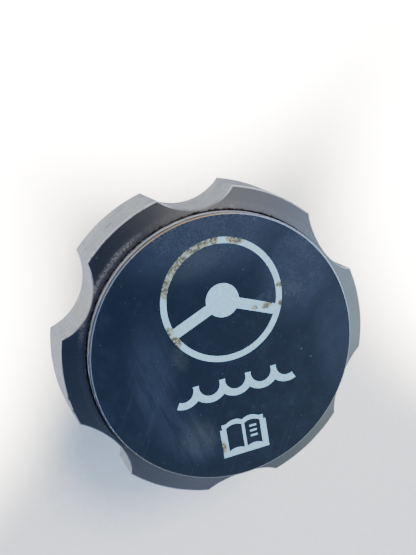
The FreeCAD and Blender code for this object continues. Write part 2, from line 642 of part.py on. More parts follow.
def retaining_ring():
    """An internal spring ring with two drilled ears at its opening."""
    ring = tube(RETAINING_OUTER, RETAINING_INNER, RETAINING_LOW, BAFFLE_LOW)
    opening = arc_slot(1, RETAINING_OUTER + 1, RETAINING_OPENING_DEG, RETAINING_LOW, BAFFLE_LOW)
    ring = ring.cut(opening)
    ear_circle = RETAINING_INNER - EAR_HOLE_RADIUS / 2
    for side in (-1, 1):
        angle = side * (RETAINING_OPENING_DEG / 2 + math.degrees(EAR_RADIUS / ear_circle))
        ear = post(EAR_RADIUS, ear_circle, RETAINING_LOW, BAFFLE_LOW)
        hole = post(EAR_HOLE_RADIUS, ear_circle, RETAINING_LOW, BAFFLE_LOW)
        for piece in (ear, hole):
            piece.rotate(ORIGIN, AXIS, angle)
        ring = ring.fuse(ear).cut(hole)
    return ring.removeSplitter()


def main():
    """Make every sub-part and write it to its own file."""
    os.makedirs("parts", exist_ok=True)
    symbols = {
        "wheel_symbol": wheel_symbol(),
        "level_symbol": level_symbol(),
        "manual_symbol": manual_symbol(),
    }
    for name, shape in symbols.items():
        write(name, shape)
    write("face_disc", face_disc(symbols.values()))
    write("cover_base", cover_base())
    write("grip_shell", grip_shell())
    write("grip_screws", grip_screws())
    write("cap_body", cap_body())
    write("neck_gasket", neck_gasket())
    write("breather_filter", breather_filter())
    write("filter_retainer", filter_retainer())
    write("valve_housing", valve_housing())
    write("housing_o_ring", housing_o_ring())
    write("spring_plate", spring_plate())
    write("pressure_spring", coil(*PRESSURE_SPRING, VALVE_PLATE_HIGH + SPRING_END_PLAY,
                                  SPRING_PLATE_LOW - SPRING_END_PLAY))
    write("pressure_valve", pressure_valve())
    write("pressure_seal", tube(SEAL_OUTER, SEAL_INNER, SEAT_Z, VALVE_PLATE_LOW))
    write("vacuum_valve", vacuum_valve())
    write("vacuum_seal", tube(VACUUM_SEAL_OUTER, STEM_RADIUS, SEAT_Z, VALVE_PLATE_LOW))
    write("vacuum_spring", coil(*VACUUM_SPRING, VALVE_PLATE_HIGH + SPRING_END_PLAY,
                                CLIP_LOW - SPRING_END_PLAY))
    write("stem_clip", stem_clip())
    write("strainer_screen", strainer_screen())
    write("splash_baffle", splash_baffle())
    write("retaining_ring", retaining_ring())


main()
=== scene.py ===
"""Finish and fine pieces of a screw-in filler cap for a steering fluid reservoir.

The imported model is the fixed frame: +Z is the cap's axis and points out of the printed face, +Y
points to the top of the printed symbols. This script gives every node its finish, winds the two
valve springs, makes the breather foam and the dust in the gap round the face, and sets up a plain
studio round the cap.
"""

import logging
import math
from abc import ABC, abstractmethod
from collections.abc import Iterable, Sequence
from dataclasses import dataclass
from enum import Enum
from functools import reduce
from typing import Any, ClassVar

import bpy
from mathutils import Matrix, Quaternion, Vector


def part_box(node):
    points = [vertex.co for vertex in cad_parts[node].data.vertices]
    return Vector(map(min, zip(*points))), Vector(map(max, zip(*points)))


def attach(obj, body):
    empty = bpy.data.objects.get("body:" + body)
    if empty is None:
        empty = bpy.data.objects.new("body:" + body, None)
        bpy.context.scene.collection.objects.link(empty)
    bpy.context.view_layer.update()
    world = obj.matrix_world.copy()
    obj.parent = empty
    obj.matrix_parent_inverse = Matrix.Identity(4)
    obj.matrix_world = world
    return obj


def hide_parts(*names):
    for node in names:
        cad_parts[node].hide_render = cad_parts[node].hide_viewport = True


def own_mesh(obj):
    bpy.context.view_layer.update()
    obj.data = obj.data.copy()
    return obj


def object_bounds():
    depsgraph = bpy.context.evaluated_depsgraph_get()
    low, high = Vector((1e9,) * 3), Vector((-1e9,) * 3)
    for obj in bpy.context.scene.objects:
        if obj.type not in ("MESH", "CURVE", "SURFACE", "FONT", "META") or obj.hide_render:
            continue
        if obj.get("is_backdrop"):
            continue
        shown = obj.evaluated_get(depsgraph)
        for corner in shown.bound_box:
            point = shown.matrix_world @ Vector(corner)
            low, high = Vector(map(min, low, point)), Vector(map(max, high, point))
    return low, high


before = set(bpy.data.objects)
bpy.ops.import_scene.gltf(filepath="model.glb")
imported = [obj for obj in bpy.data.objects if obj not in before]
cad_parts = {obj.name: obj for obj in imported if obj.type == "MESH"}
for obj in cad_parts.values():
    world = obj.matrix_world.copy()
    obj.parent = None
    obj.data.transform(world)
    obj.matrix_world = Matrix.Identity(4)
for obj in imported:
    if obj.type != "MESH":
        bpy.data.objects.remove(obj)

log = logging.getLogger("filler_cap")

MM = 0.001

Colour = tuple[float, float, float]
Socket = bpy.types.NodeSocket
Sockets = dict[str, Socket]
Value = float | int | Sequence[float] | Socket
Inputs = dict[str | int, Value]


class Body(Enum):
    """The bodies that new pieces ride on."""

    CAP = "cap"
    PRESSURE_SET = "pressure_set"


class Slot(Enum):
    """The names of the record's finishes for new pieces."""

    GRIP = "grip_plastic"
    FOAM = "filter_foam"
    SPRING_STEEL = "spring_steel"


class ToolMark(Enum):
    """The way that a metal surface was made, which sets the direction of its fine lines."""

    TURNED = "turned"
    DRAWN = "drawn"
    STAMPED = "stamped"


# Node graphs


@dataclass
class Graph:
    """A node tree being built, with short calls that add nodes and join them.

    Attributes:
        tree: the shader or geometry tree that the nodes go into.
    """

    tree: bpy.types.NodeTree

    def node(self, kind: str, inputs: Inputs | None = None, **settings: Any) -> bpy.types.Node:
        """Add one node.

        Args:
            kind: Blender's type name of the node.
            inputs: values or sockets for its inputs, by name or by number.
            **settings: the node's own properties.

        Returns:
            The new node.
        """
        made = self.tree.nodes.new(kind)
        for name, setting in settings.items():
            setattr(made, name, setting)
        for name, value in (inputs or {}).items():
            self.feed(made.inputs[name], value)
        return made

    def feed(self, socket: Socket, value: Value) -> None:
        """Join a socket to another one, or set its value.

        Args:
            socket: the input to feed.
            value: an output socket, or a plain value; a plain colour is red, green and blue.
        """
        if isinstance(value, Socket):
            self.tree.links.new(value, socket)
        elif socket.type == "RGBA":
            socket.default_value = (*value, 1.0)
        else:
            socket.default_value = value

    def math(self, operation: str, *values: Value) -> Socket:
        """Work out one number from others."""
        return self.node("ShaderNodeMath", dict(enumerate(values)), operation=operation).outputs[0]

    def vector(self, operation: str, *values: Value, result: str = "Vector") -> Socket:
        """Work out a vector from others, or a number when the result is named Value."""
        return self.node("ShaderNodeVectorMath", dict(enumerate(values)), operation=operation).outputs[result]

    def length(self, vector: Value) -> Socket:
        """Give the length of a vector."""
        return self.vector("LENGTH", vector, result="Value")

    def dot(self, first: Value, second: Value) -> Socket:
        """Give the dot product of two vectors."""
        return self.vector("DOT_PRODUCT", first, second, result="Value")

    def axes(self, vector: Value) -> tuple[Socket, ...]:
        """Split a vector into x, y and z."""
        return tuple(self.node("ShaderNodeSeparateXYZ", {0: vector}).outputs)

    def joined(self, x: Value, y: Value, z: Value) -> Socket:
        """Make a vector of x, y and z."""
        return self.node("ShaderNodeCombineXYZ", {0: x, 1: y, 2: z}).outputs[0]

    def rise(self, value: Value, low: Value, high: Value) -> Socket:
        """Go smoothly from 0 where the value is low to 1 where it is high; low may be the larger."""
        inputs = {"Value": value, "From Min": low, "From Max": high}
        return self.node("ShaderNodeMapRange", inputs, interpolation_type="SMOOTHSTEP").outputs["Result"]

    def minus(self, first: Value, second: Value) -> Socket:
        """Take the second number from the first."""
        return self.math("SUBTRACT", first, second)

    def plus(self, first: Value, second: Value) -> Socket:
        """Add two numbers."""
        return self.math("ADD", first, second)

    def times(self, *values: Value) -> Socket:
        """Multiply two or more numbers."""
        return reduce(lambda product, value: self.math("MULTIPLY", product, value), values)

    def most(self, values: Iterable[Value]) -> Socket:
        """Give the largest of several masks."""
        return reduce(lambda found, value: self.math("MAXIMUM", found, value), values, 0.0)

    def scaled(self, vector: Value, factor: Value) -> Socket:
        """Make a vector longer or shorter."""
        inputs = {0: vector, "Scale": factor}
        return self.node("ShaderNodeVectorMath", inputs, operation="SCALE").outputs["Vector"]

    def between(self, factor: Value, low: Value, high: Value) -> Socket:
        """Mix two numbers."""
        return self.node("ShaderNodeMix", {"Factor": factor, 2: low, 3: high}, data_type="FLOAT").outputs[0]

    def colours(self, factor: Value, first: Value, second: Value) -> Socket:
        """Mix two colours."""
        inputs = {"Factor": factor, 6: first, 7: second}
        return self.node("ShaderNodeMix", inputs, data_type="RGBA").outputs[2]

    def layers(self, base: Value, *coats: tuple[Value, Value]) -> Socket:
        """Lay coats over a base colour, each given as its mask and its colour."""
        return reduce(lambda below, coat: self.colours(coat[0], below, coat[1]), coats, base)

    def turned(self, vector: Value, angle: Value) -> Socket:
        """Turn a vector about z."""
        inputs = {"Vector": vector, "Angle": angle}
        return self.node("ShaderNodeVectorRotate", inputs, rotation_type="Z_AXIS").outputs[0]

    def noise(self, vector: Value, scale: Value, detail: float = 2.0, rough: float = 0.5) -> Socket:
        """Give cloudy noise from 0 to 1, where detail and rough set its finer layers."""
        inputs = {"Vector": vector, "Scale": scale, "Detail": detail, "Roughness": rough}
        return self.node("ShaderNodeTexNoise", inputs).outputs["Fac"]

    def clouds(self, vector: Value, scale: Value, low: Value, high: Value, detail: float = 2.0,
               rough: float = 0.5) -> Socket:
        """Give noise that goes from 0 where it is low to 1 where it is high."""
        return self.rise(self.noise(vector, scale, detail, rough), low, high)

    def millimetres(self) -> Socket:
        """Give the place on the piece in millimetres."""
        place = self.node("ShaderNodeTexCoord").outputs["Object"]
        return self.vector("MULTIPLY", place, (1 / MM,) * 3)


@dataclass
class SurfaceGraph(Graph):
    """The node tree of a material, round its one shader.

    Attributes:
        shader: the material's Principled BSDF.
    """

    shader: bpy.types.Node

    def surface(self, colour: Value, roughness: Value, height: Value, depth: float) -> None:
        """Give the shader its colour, its roughness and its fine relief.

        Args:
            colour: the base colour.
            roughness: the roughness.
            height: the relief, from 0 to 1.
            depth: the depth of the relief in metres.
        """
        bump = self.node("ShaderNodeBump", {"Height": height, "Distance": depth, "Strength": 1.0})
        for name, value in (("Base Color", colour), ("Roughness", roughness), ("Normal", bump.outputs[0])):
            self.feed(self.shader.inputs[name], value)


SOCKETS = {float: "NodeSocketFloat", int: "NodeSocketInt", tuple: "NodeSocketVector"}


def socket_name(keyword: str) -> str:
    """Turn a keyword such as coil_radius into a socket's name, Coil Radius."""
    return keyword.replace("_", " ").title()


class Effect(ABC):
    """A surface effect that several finishes use, kept as one shader node group."""

    title: ClassVar[str]
    inputs: ClassVar[dict[str, float | tuple[float, float, float]]]
    outputs: ClassVar[tuple[str, ...]] = ("Mask",)

    @abstractmethod
    def draw(self, graph: Graph, given: Sockets) -> Sockets:
        """Build the inside of the group from its inputs by name, and give its outputs by name."""

    def group(self) -> bpy.types.NodeTree:
        """Make the group when it is first used, and find it after that."""
        found = bpy.data.node_groups.get(self.title)
        if found:
            return found
        tree = bpy.data.node_groups.new(self.title, "ShaderNodeTree")
        defaults = {"Vector": (0.0, 0.0, 0.0)} | self.inputs
        for name, value in defaults.items():
            made = tree.interface.new_socket(name, in_out="INPUT", socket_type=SOCKETS[type(value)])
            made.default_value = value
        for name in self.outputs:
            tree.interface.new_socket(name, in_out="OUTPUT", socket_type="NodeSocketFloat")
        graph = Graph(tree)
        given = graph.node("NodeGroupInput").outputs
        graph.node("NodeGroupOutput", self.draw(graph, {name: given[name] for name in defaults}))
        return tree

    def place(self, graph: Graph, vector: Value, **values: Value) -> Sockets:
        """Put the group into a finish with its own values.

        Args:
            graph: the finish's graph.
            vector: where the effect is read.
            **values: values or sockets for the group's other inputs.

        Returns:
            The group's outputs by name.
        """
        placed = graph.node("ShaderNodeGroup", {"Vector": vector}, node_tree=self.group())
        for name, value in values.items():
            graph.feed(placed.inputs[socket_name(name)], value)
        return {name: placed.outputs[name] for name in self.outputs}

    def mask(self, graph: Graph, vector: Value, **values: Value) -> Socket:
        """Put the group into a finish and give its mask; see Effect.place."""
        return self.place(graph, vector, **values)["Mask"]


class MouldedGrain(Effect):
    """The fine skin of a moulded part, with slow patches that are duller or glossier."""

    title = "moulded grain"
    inputs = {"Scale": 6.0, "Roughness": 0.4, "Variation": 0.1}
    outputs = ("Roughness", "Height")

    def draw(self, graph: Graph, given: Sockets) -> Sockets:
        """Mix fine and slow noise; see Effect.draw."""
        fine = graph.noise(given["Vector"], given["Scale"], detail=3.0, rough=0.6)
        slow = graph.noise(given["Vector"], 0.12, detail=3.0)
        sway = graph.plus(graph.minus(slow, 0.5), graph.times(graph.minus(fine, 0.5), 0.4))
        duller = graph.times(sway, given["Variation"], 2.0)
        return {"Roughness": graph.plus(given["Roughness"], duller), "Height": fine}


class Scratches(Effect):
    """Fine lines that run one way, broken up into patches."""

    title = "scratches"
    inputs = {"Along": (0.0, 1.0, 0.0), "Turn": 0.0, "Fineness": 8.0, "Stretch": 14.0, "Amount": 0.3}

    def draw(self, graph: Graph, given: Sockets) -> Sockets:
        """Stretch noise along one direction and keep its crests; see Effect.draw."""
        turned = graph.turned(given["Vector"], given["Turn"])
        along = graph.dot(turned, given["Along"])
        shortened = graph.minus(graph.math("DIVIDE", 1.0, given["Stretch"]), 1.0)
        squeezed = graph.scaled(given["Along"], graph.times(along, shortened))
        lines = graph.noise(graph.vector("ADD", turned, squeezed), given["Fineness"], detail=3.0, rough=0.7)
        patches = graph.noise(turned, 0.22, detail=2.0)
        threshold = graph.minus(0.72, graph.times(given["Amount"], 0.3))
        crests = graph.rise(lines, threshold, graph.plus(threshold, 0.1))
        return {"Mask": graph.times(crests, graph.rise(patches, 0.35, 0.65))}


class Smudge(Effect):
    """A soft-edged patch round a point, torn up by noise."""

    title = "smudge"
    inputs = {"Centre": (0.0, 0.0, 0.0), "Reach": (1.0, 1.0, 1.0), "Turn": 0.0, "Grain": 8.0, "Torn": 0.5}

    def draw(self, graph: Graph, given: Sockets) -> Sockets:
        """Fade with the distance from the centre and tear the edge; see Effect.draw."""
        moved = graph.vector("SUBTRACT", given["Vector"], given["Centre"])
        turned = graph.turned(moved, given["Turn"])
        distance = graph.length(graph.vector("DIVIDE", turned, given["Reach"]))
        cloud = graph.clouds(given["Vector"], given["Grain"], 0.34, 0.66, detail=5.0, rough=0.7)
        kept = graph.between(given["Torn"], 1.0, cloud)
        return {"Mask": graph.times(graph.rise(distance, 1.0, 0.25), kept)}


class DustSpecks(Effect):
    """Small round specks, scattered at random."""

    title = "dust specks"
    inputs = {"Scale": 0.5, "Size": 0.1, "Amount": 0.3}

    def draw(self, graph: Graph, given: Sockets) -> Sockets:
        """Keep a spot at the middle of some random cells; see Effect.draw."""
        cells = graph.node("ShaderNodeTexVoronoi", {"Vector": given["Vector"], "Scale": given["Scale"]})
        chance = graph.axes(cells.outputs["Color"])
        size = graph.times(given["Size"], graph.plus(0.35, chance[1]))
        spot = graph.rise(cells.outputs["Distance"], size, graph.times(size, 0.4))
        chosen = graph.math("LESS_THAN", chance[0], given["Amount"])
        return {"Mask": graph.times(spot, chosen)}


class EdgeWear(Effect):
    """The rubbed look of a part's sharp edges."""

    title = "edge wear"
    inputs = {"Width": 0.0004, "Amount": 0.5, "Grain": 1.5}

    def draw(self, graph: Graph, given: Sockets) -> Sockets:
        """Compare the rounded normal with the true one; see Effect.draw."""
        rounded = graph.node("ShaderNodeBevel", {"Radius": given["Width"]}, samples=6).outputs[0]
        true = graph.node("ShaderNodeNewGeometry").outputs["Normal"]
        bend = graph.minus(1.0, graph.dot(rounded, true))
        rubbed = graph.clouds(given["Vector"], given["Grain"], 0.25, 0.6, detail=3.0)
        return {"Mask": graph.times(graph.rise(bend, 0.01, 0.12), rubbed, given["Amount"])}


class LobedForm(Effect):
    """Where a point lies on the lobed grip.

    Depth is how far it lies inside the outer wall, in millimetres, and Turn is its angle about
    the axis in turns.
    """

    title = "lobed form"
    inputs = {"Lobes": 6.0, "Scallop Radius": 13.3, "Scallop Distance": 45.3,
              "Front Radius": 36.3, "Front Height": 7.4, "Taper": 0.07}
    outputs = ("Depth", "Radius", "Turn")

    def draw(self, graph: Graph, given: Sockets) -> Sockets:
        """Measure to the nearer of the outer cone and the scallop; see Effect.draw."""
        x, y, z = graph.axes(given["Vector"])
        radius = graph.length(graph.joined(x, y, 0.0))
        angle = graph.math("ARCTAN2", y, x)
        pitch = graph.math("DIVIDE", math.tau, given["Lobes"])
        folded = graph.minus(graph.math("FLOORED_MODULO", angle, pitch), graph.times(pitch, 0.5))
        across = graph.times(radius, graph.math("SINE", folded))
        outward = graph.minus(graph.times(radius, graph.math("COSINE", folded)), given["Scallop Distance"])
        scallop = graph.minus(graph.length(graph.joined(across, outward, 0.0)), given["Scallop Radius"])
        drop = graph.math("MAXIMUM", graph.minus(given["Front Height"], z), 0.0)
        cone = graph.plus(given["Front Radius"], graph.times(drop, given["Taper"]))
        rim = graph.minus(cone, radius)
        return {"Depth": graph.math("MINIMUM", rim, scallop), "Radius": radius,
                "Turn": graph.math("DIVIDE", angle, math.tau)}


# Finishes


@dataclass(frozen=True)
class Finish(ABC):
    """One finish of the cap.

    Attributes:
        title: the material's name.
    """

    title: str

    def material(self) -> bpy.types.Material:
        """Make the material when it is first used, and find it after that."""
        found = bpy.data.materials.get(self.title)
        if found:
            return found
        made = bpy.data.materials.new(self.title)
        made.use_nodes = True
        made.node_tree.nodes.clear()
        shader = made.node_tree.nodes.new("ShaderNodeBsdfPrincipled")
        graph = SurfaceGraph(made.node_tree, shader)
        graph.node("ShaderNodeOutputMaterial", {"Surface": shader.outputs[0]})
        self.paint(graph)
        return made

    @abstractmethod
    def paint(self, graph: SurfaceGraph) -> None:
        """Feed the shader of a material's graph."""


@dataclass(frozen=True)
class MouldedPlastic(Finish):
    """A plain moulding with fine grain, worn edges and a little dust.

    Attributes:
        colour: the plastic.
        worn: the colour of a rubbed edge.
        dust: the colour of settled dust.
        roughness: the mean roughness.
        grain: how many grains there are per millimetre.
        grain_depth: the depth of the grain in metres.
        wear: how far the edges are rubbed, from 0 to 1.
        dustiness: how much dust has settled, from 0 to 1.
        translucent: how far light goes into the plastic, from 0 to 1.
    """

    colour: Colour
    worn: Colour
    dust: Colour = (0.30, 0.29, 0.27)
    roughness: float = 0.42
    grain: float = 7.0
    grain_depth: float = 0.00002
    wear: float = 0.5
    dustiness: float = 0.10
    translucent: float = 0.0

    def paint(self, graph: SurfaceGraph) -> None:
        """Layer grain, wear, scratches and dust; see Finish.paint."""
        place = graph.millimetres()
        grain = MouldedGrain().place(graph, place, scale=self.grain, roughness=self.roughness, variation=0.12)
        wear = EdgeWear().mask(graph, place, amount=self.wear)
        lines = Scratches().mask(graph, place, amount=0.35, turn=0.6)
        haze = graph.times(graph.clouds(place, 0.3, 0.45, 0.75, detail=5.0, rough=0.65), self.dustiness)
        colour = graph.layers(self.colour, (graph.times(lines, 0.12), self.worn), (haze, self.dust),
                              (wear, self.worn))
        graph.surface(colour, grain["Roughness"], grain["Height"], self.grain_depth)
        graph.shader.inputs["Subsurface Weight"].default_value = self.translucent
        graph.shader.inputs["Subsurface Radius"].default_value = (1.2 * MM, 1.0 * MM, 0.8 * MM)


@dataclass(frozen=True)
class GripPlastic(Finish):
    """The grip's satin moulding, whose sides are painted lighter, partly as wear by hands and partly as
    painted sheen, and whose sloping land is cleaner.

    Attributes:
        colour: the clean plastic.
        scuffed_and_painted_sheen: the lighter plastic of the sides, partly rubbed dull by hands and partly
            painted sheen of the bright floor they mirror.
        edge: the light line along the rim, partly rubbed wear and partly painted highlight; also the colour
            of the scratches on the sides.
        dirt: what has settled beside the gap round the cover.
        nick: the mark of a knock.
        recess_radius: the radius of the cover's recess, in millimetres.
        front_radius: the lobes' radius at the front of the side wall, in millimetres.
        front_height: the height of that rim, in millimetres.
        taper: how much the side wall widens towards the back.
        land_slope: how steeply the land rises from that rim towards the axis.
        knock: the place of the knock on one lobe's side, in millimetres.
        knock_reach: how far the knock spreads along each axis, in millimetres.
        skin: how deep inside the outer wall the lighter sides end, and how deep they are full, in
            millimetres.
        dirt_offset: how far outside the recess most of the dirt lies, in millimetres.
        dirty_turn: where round the axis most of the dirt lies, in turns.
    """

    colour: Colour
    scuffed_and_painted_sheen: Colour
    edge: Colour
    dirt: Colour
    nick: Colour
    recess_radius: float
    front_radius: float
    front_height: float
    taper: float
    land_slope: float
    knock: tuple[float, float, float]
    knock_reach: tuple[float, float, float] = (2.4, 1.5, 1.1)
    skin: tuple[float, float] = (0.35, 0.12)
    dirt_offset: float = 1.1
    dirty_turn: float = 0.39

    def paint(self, graph: SurfaceGraph) -> None:
        """Lighten the sides, partly as wear and partly as painted sheen, draw the rim line, partly wear and
        partly painted highlight, and dirty the gap; see Finish.paint.
        """
        place = graph.millimetres()
        form = LobedForm().place(graph, place, front_radius=self.front_radius, front_height=self.front_height,
                                 taper=self.taper)
        side = graph.rise(form["Depth"], *self.skin)
        grain = MouldedGrain().place(graph, place, scale=5.0, roughness=0.34, variation=0.12)
        clouds = graph.noise(place, 0.55, detail=6.0, rough=0.7)
        rubs = Scratches().mask(graph, place, along=(0.0, 0.0, 1.0), fineness=2.6, stretch=5.0, amount=0.75)
        cuts = Scratches().mask(graph, place, along=(0.8, 0.6, 0.0), fineness=3.4, stretch=16.0, amount=0.5)
        scuff_and_sheen_mottle = graph.plus(clouds, graph.times(graph.minus(grain["Height"], 0.5), 0.5))
        settled = self.settled_dirt(graph, place, form)
        knock = Smudge().mask(graph, place, centre=self.knock, reach=self.knock_reach, turn=0.7, grain=1.3,
                              torn=0.8)
        specks = DustSpecks().mask(graph, place, scale=0.45, size=0.14, amount=0.35)
        colour = graph.layers(
            self.colour,
            # the sides, lighter: partly scuffing, partly painted sheen
            (graph.times(side, graph.between(graph.rise(scuff_and_sheen_mottle, 0.34, 0.66), 0.30, 1.0)), self.scuffed_and_painted_sheen),
            (graph.times(side, graph.most((rubs, cuts)), 0.22), self.edge),
            # the rim line: partly rubbed wear, partly painted highlight
            (self.rim_wear_and_painted_highlight(graph, place, form), self.edge),
            (settled, self.dirt),
            (graph.times(knock, 0.9), self.nick),
            (graph.times(specks, 0.35), self.dirt),
        )
        duller = graph.plus(grain["Roughness"], graph.times(side, 0.1))
        duller = graph.plus(duller, graph.times(settled, 0.25))
        uneven = graph.minus(graph.times(side, clouds, 1.5), graph.times(knock, 5.0))
        graph.surface(colour, duller, graph.plus(grain["Height"], uneven), 0.00003)

    def rim_wear_and_painted_highlight(self, graph: Graph, place: Value, form: Sockets) -> Socket:
        """Find the thin line where the sloping land meets the side, painted light as partly rubbed wear and
        partly painted highlight.

        Args:
            graph: the material's graph.
            place: the place in millimetres.
            form: the lobed form's outputs.

        Returns:
            A mask of the line.
        """
        land = graph.math("MULTIPLY_ADD", graph.minus(self.front_radius, form["Radius"]), self.land_slope,
                          self.front_height)
        below = graph.minus(land, graph.axes(place)[2])
        line = graph.times(graph.rise(form["Depth"], 0.36, 0.18), graph.rise(below, 0.4, 0.12))
        return graph.times(line, graph.clouds(place, 0.7, 0.25, 0.5, detail=3.0), 0.9)

    def settled_dirt(self, graph: Graph, place: Value, form: Sockets) -> Socket:
        """Find the land beside the gap, where dirt is rubbed on, most of all at the upper left.

        Args:
            graph: the material's graph.
            place: the place in millimetres.
            form: the lobed form's outputs.

        Returns:
            A mask of the dirt.
        """
        outwards = graph.minus(form["Radius"], self.recess_radius + self.dirt_offset)
        round_axis = graph.minus(form["Turn"], self.dirty_turn)
        beside = graph.rise(graph.math("ABSOLUTE", outwards), 0.8, 0.1)
        upper_left = graph.rise(graph.math("ABSOLUTE", round_axis), 0.075, 0.045)
        torn = graph.clouds(place, 2.2, 0.42, 0.6, detail=5.0, rough=0.75)
        faint = graph.times(graph.clouds(place, 2.4, 0.45, 0.75, detail=5.0, rough=0.7), 0.05)
        near_gap = graph.times(beside, torn, graph.between(upper_left, 0.12, 1.0))
        return graph.plus(near_gap, faint)


@dataclass(frozen=True)
class Mark:
    """A smudge, stain or worn place on the face, laid out in face radii.

    Attributes:
        name: what it is.
        x: its place across the face.
        y: its place up the face.
        width: its half width.
        height: its half height.
        strength: how strong it is, from 0 to 1.
        turn: how far it is turned, in degrees.
        torn: how far noise breaks it up, from 0 to 1.
        grain: how many clouds the noise has per face radius.
    """

    name: str
    x: float
    y: float
    width: float
    height: float
    strength: float
    turn: float = 0.0
    torn: float = 0.6
    grain: float = 7.0

    def mask(self, graph: Graph, place: Value) -> Socket:
        """Draw the mark.

        Args:
            graph: the material's graph.
            place: the place in face radii.

        Returns:
            The mark's mask.
        """
        smudge = Smudge().mask(graph, place, centre=(self.x, self.y, 0.0),
                               reach=(self.width, self.height, 1.0), turn=math.radians(self.turn),
                               grain=self.grain, torn=self.torn)
        smudge.node.label = self.name
        return graph.times(smudge, self.strength)


STREAKS = (
    Mark("wiped streaks at the left", -0.58, -0.05, 0.26, 0.62, 0.85, turn=6, torn=0.2),
    Mark("wiped streaks at the lower left", -0.46, -0.50, 0.26, 0.46, 0.65, turn=-24, torn=0.2),
    Mark("greasy patch at the foot", -0.32, -0.66, 0.22, 0.24, 0.8, turn=-20, torn=0.35, grain=4),
)

HAZES = (
    Mark("fingerprint right of the wheel", 0.55, 0.33, 0.15, 0.14, 1.0, turn=20, torn=0.95, grain=14),
    Mark("rub above the right spoke", 0.36, 0.32, 0.12, 0.08, 0.9, turn=-20, torn=0.8, grain=12),
    Mark("haze at the top", 0.0, 0.88, 0.95, 0.46, 0.8, torn=0.25, grain=7),
    Mark("haze at the upper right", 0.66, 0.50, 0.45, 0.60, 0.8, turn=30, torn=0.35, grain=8),
    Mark("haze at the right", 0.88, -0.10, 0.30, 0.70, 0.5, torn=0.3, grain=7),
    Mark("rub beside the book", 0.42, -0.55, 0.12, 0.07, 0.45, turn=-20, torn=0.9, grain=14),
    Mark("smudge at the book's corner", -0.05, -0.50, 0.07, 0.04, 0.3, turn=-15, torn=0.8, grain=14),
)

FILMS = (
    Mark("grey film inside the wheel", -0.12, 0.68, 0.28, 0.13, 0.28, turn=-18, torn=0.35, grain=6),
    Mark("grey wisps right of the wheel", 0.55, 0.33, 0.14, 0.13, 0.4, turn=20, torn=0.95, grain=13),
    Mark("brown film below the left spoke", -0.36, 0.02, 0.08, 0.14, 0.5, turn=-15, torn=0.7, grain=12),
    Mark("brown film at the foot", -0.33, -0.62, 0.2, 0.22, 0.45, turn=-20, torn=0.4, grain=5),
)

STAINS = (
    Mark("stained rim, left", -0.38, 0.57, 0.11, 0.17, 0.7, turn=-25, torn=0.2, grain=24),
    Mark("stained rim, upper left", -0.27, 0.71, 0.17, 0.12, 0.75, turn=-45, torn=0.2, grain=26),
    Mark("stained rim, top left", -0.10, 0.81, 0.17, 0.09, 0.8, turn=-15, torn=0.2, grain=28),
    Mark("dark chip at the top", 0.03, 0.83, 0.05, 0.06, 1.0, torn=0.15, grain=30),
    Mark("dark chips right of the top", 0.19, 0.80, 0.10, 0.06, 1.0, turn=20, torn=0.45, grain=34),
    Mark("ring spot, right", 0.475, 0.39, 0.04, 0.03, 1.0, torn=0.2, grain=34),
    Mark("ring spot, lower right", 0.475, 0.25, 0.045, 0.035, 1.0, torn=0.2, grain=30),
    Mark("spoke spots, right", 0.36, 0.262, 0.07, 0.04, 1.0, turn=-20, torn=0.5, grain=34),
    Mark("spoke spot, right of the hub", 0.26, 0.262, 0.035, 0.025, 0.9, torn=0.4, grain=30),
    Mark("rust at the left spoke's end", -0.38, 0.15, 0.08, 0.07, 1.0, turn=30, torn=0.3, grain=24),
    Mark("stain above the left spoke's end", -0.41, 0.24, 0.06, 0.06, 0.8, torn=0.5, grain=24),
    Mark("stain on the book's left side", -0.15, -0.755, 0.04, 0.08, 0.7, torn=0.4, grain=22),
)


@dataclass(frozen=True)
class FaceFinish(Finish):
    """A finish on the face, whose marks are laid out in face radii.

    Attributes:
        face_radius: the radius of the flat face in millimetres.
        face_height: its height in millimetres.
    """

    face_radius: float
    face_height: float

    def place(self, graph: Graph) -> Socket:
        """Give the place in face radii, with the face's centre at the origin."""
        centred = graph.vector("SUBTRACT", graph.millimetres(), (0.0, 0.0, self.face_height))
        return graph.vector("DIVIDE", centred, (self.face_radius,) * 3)


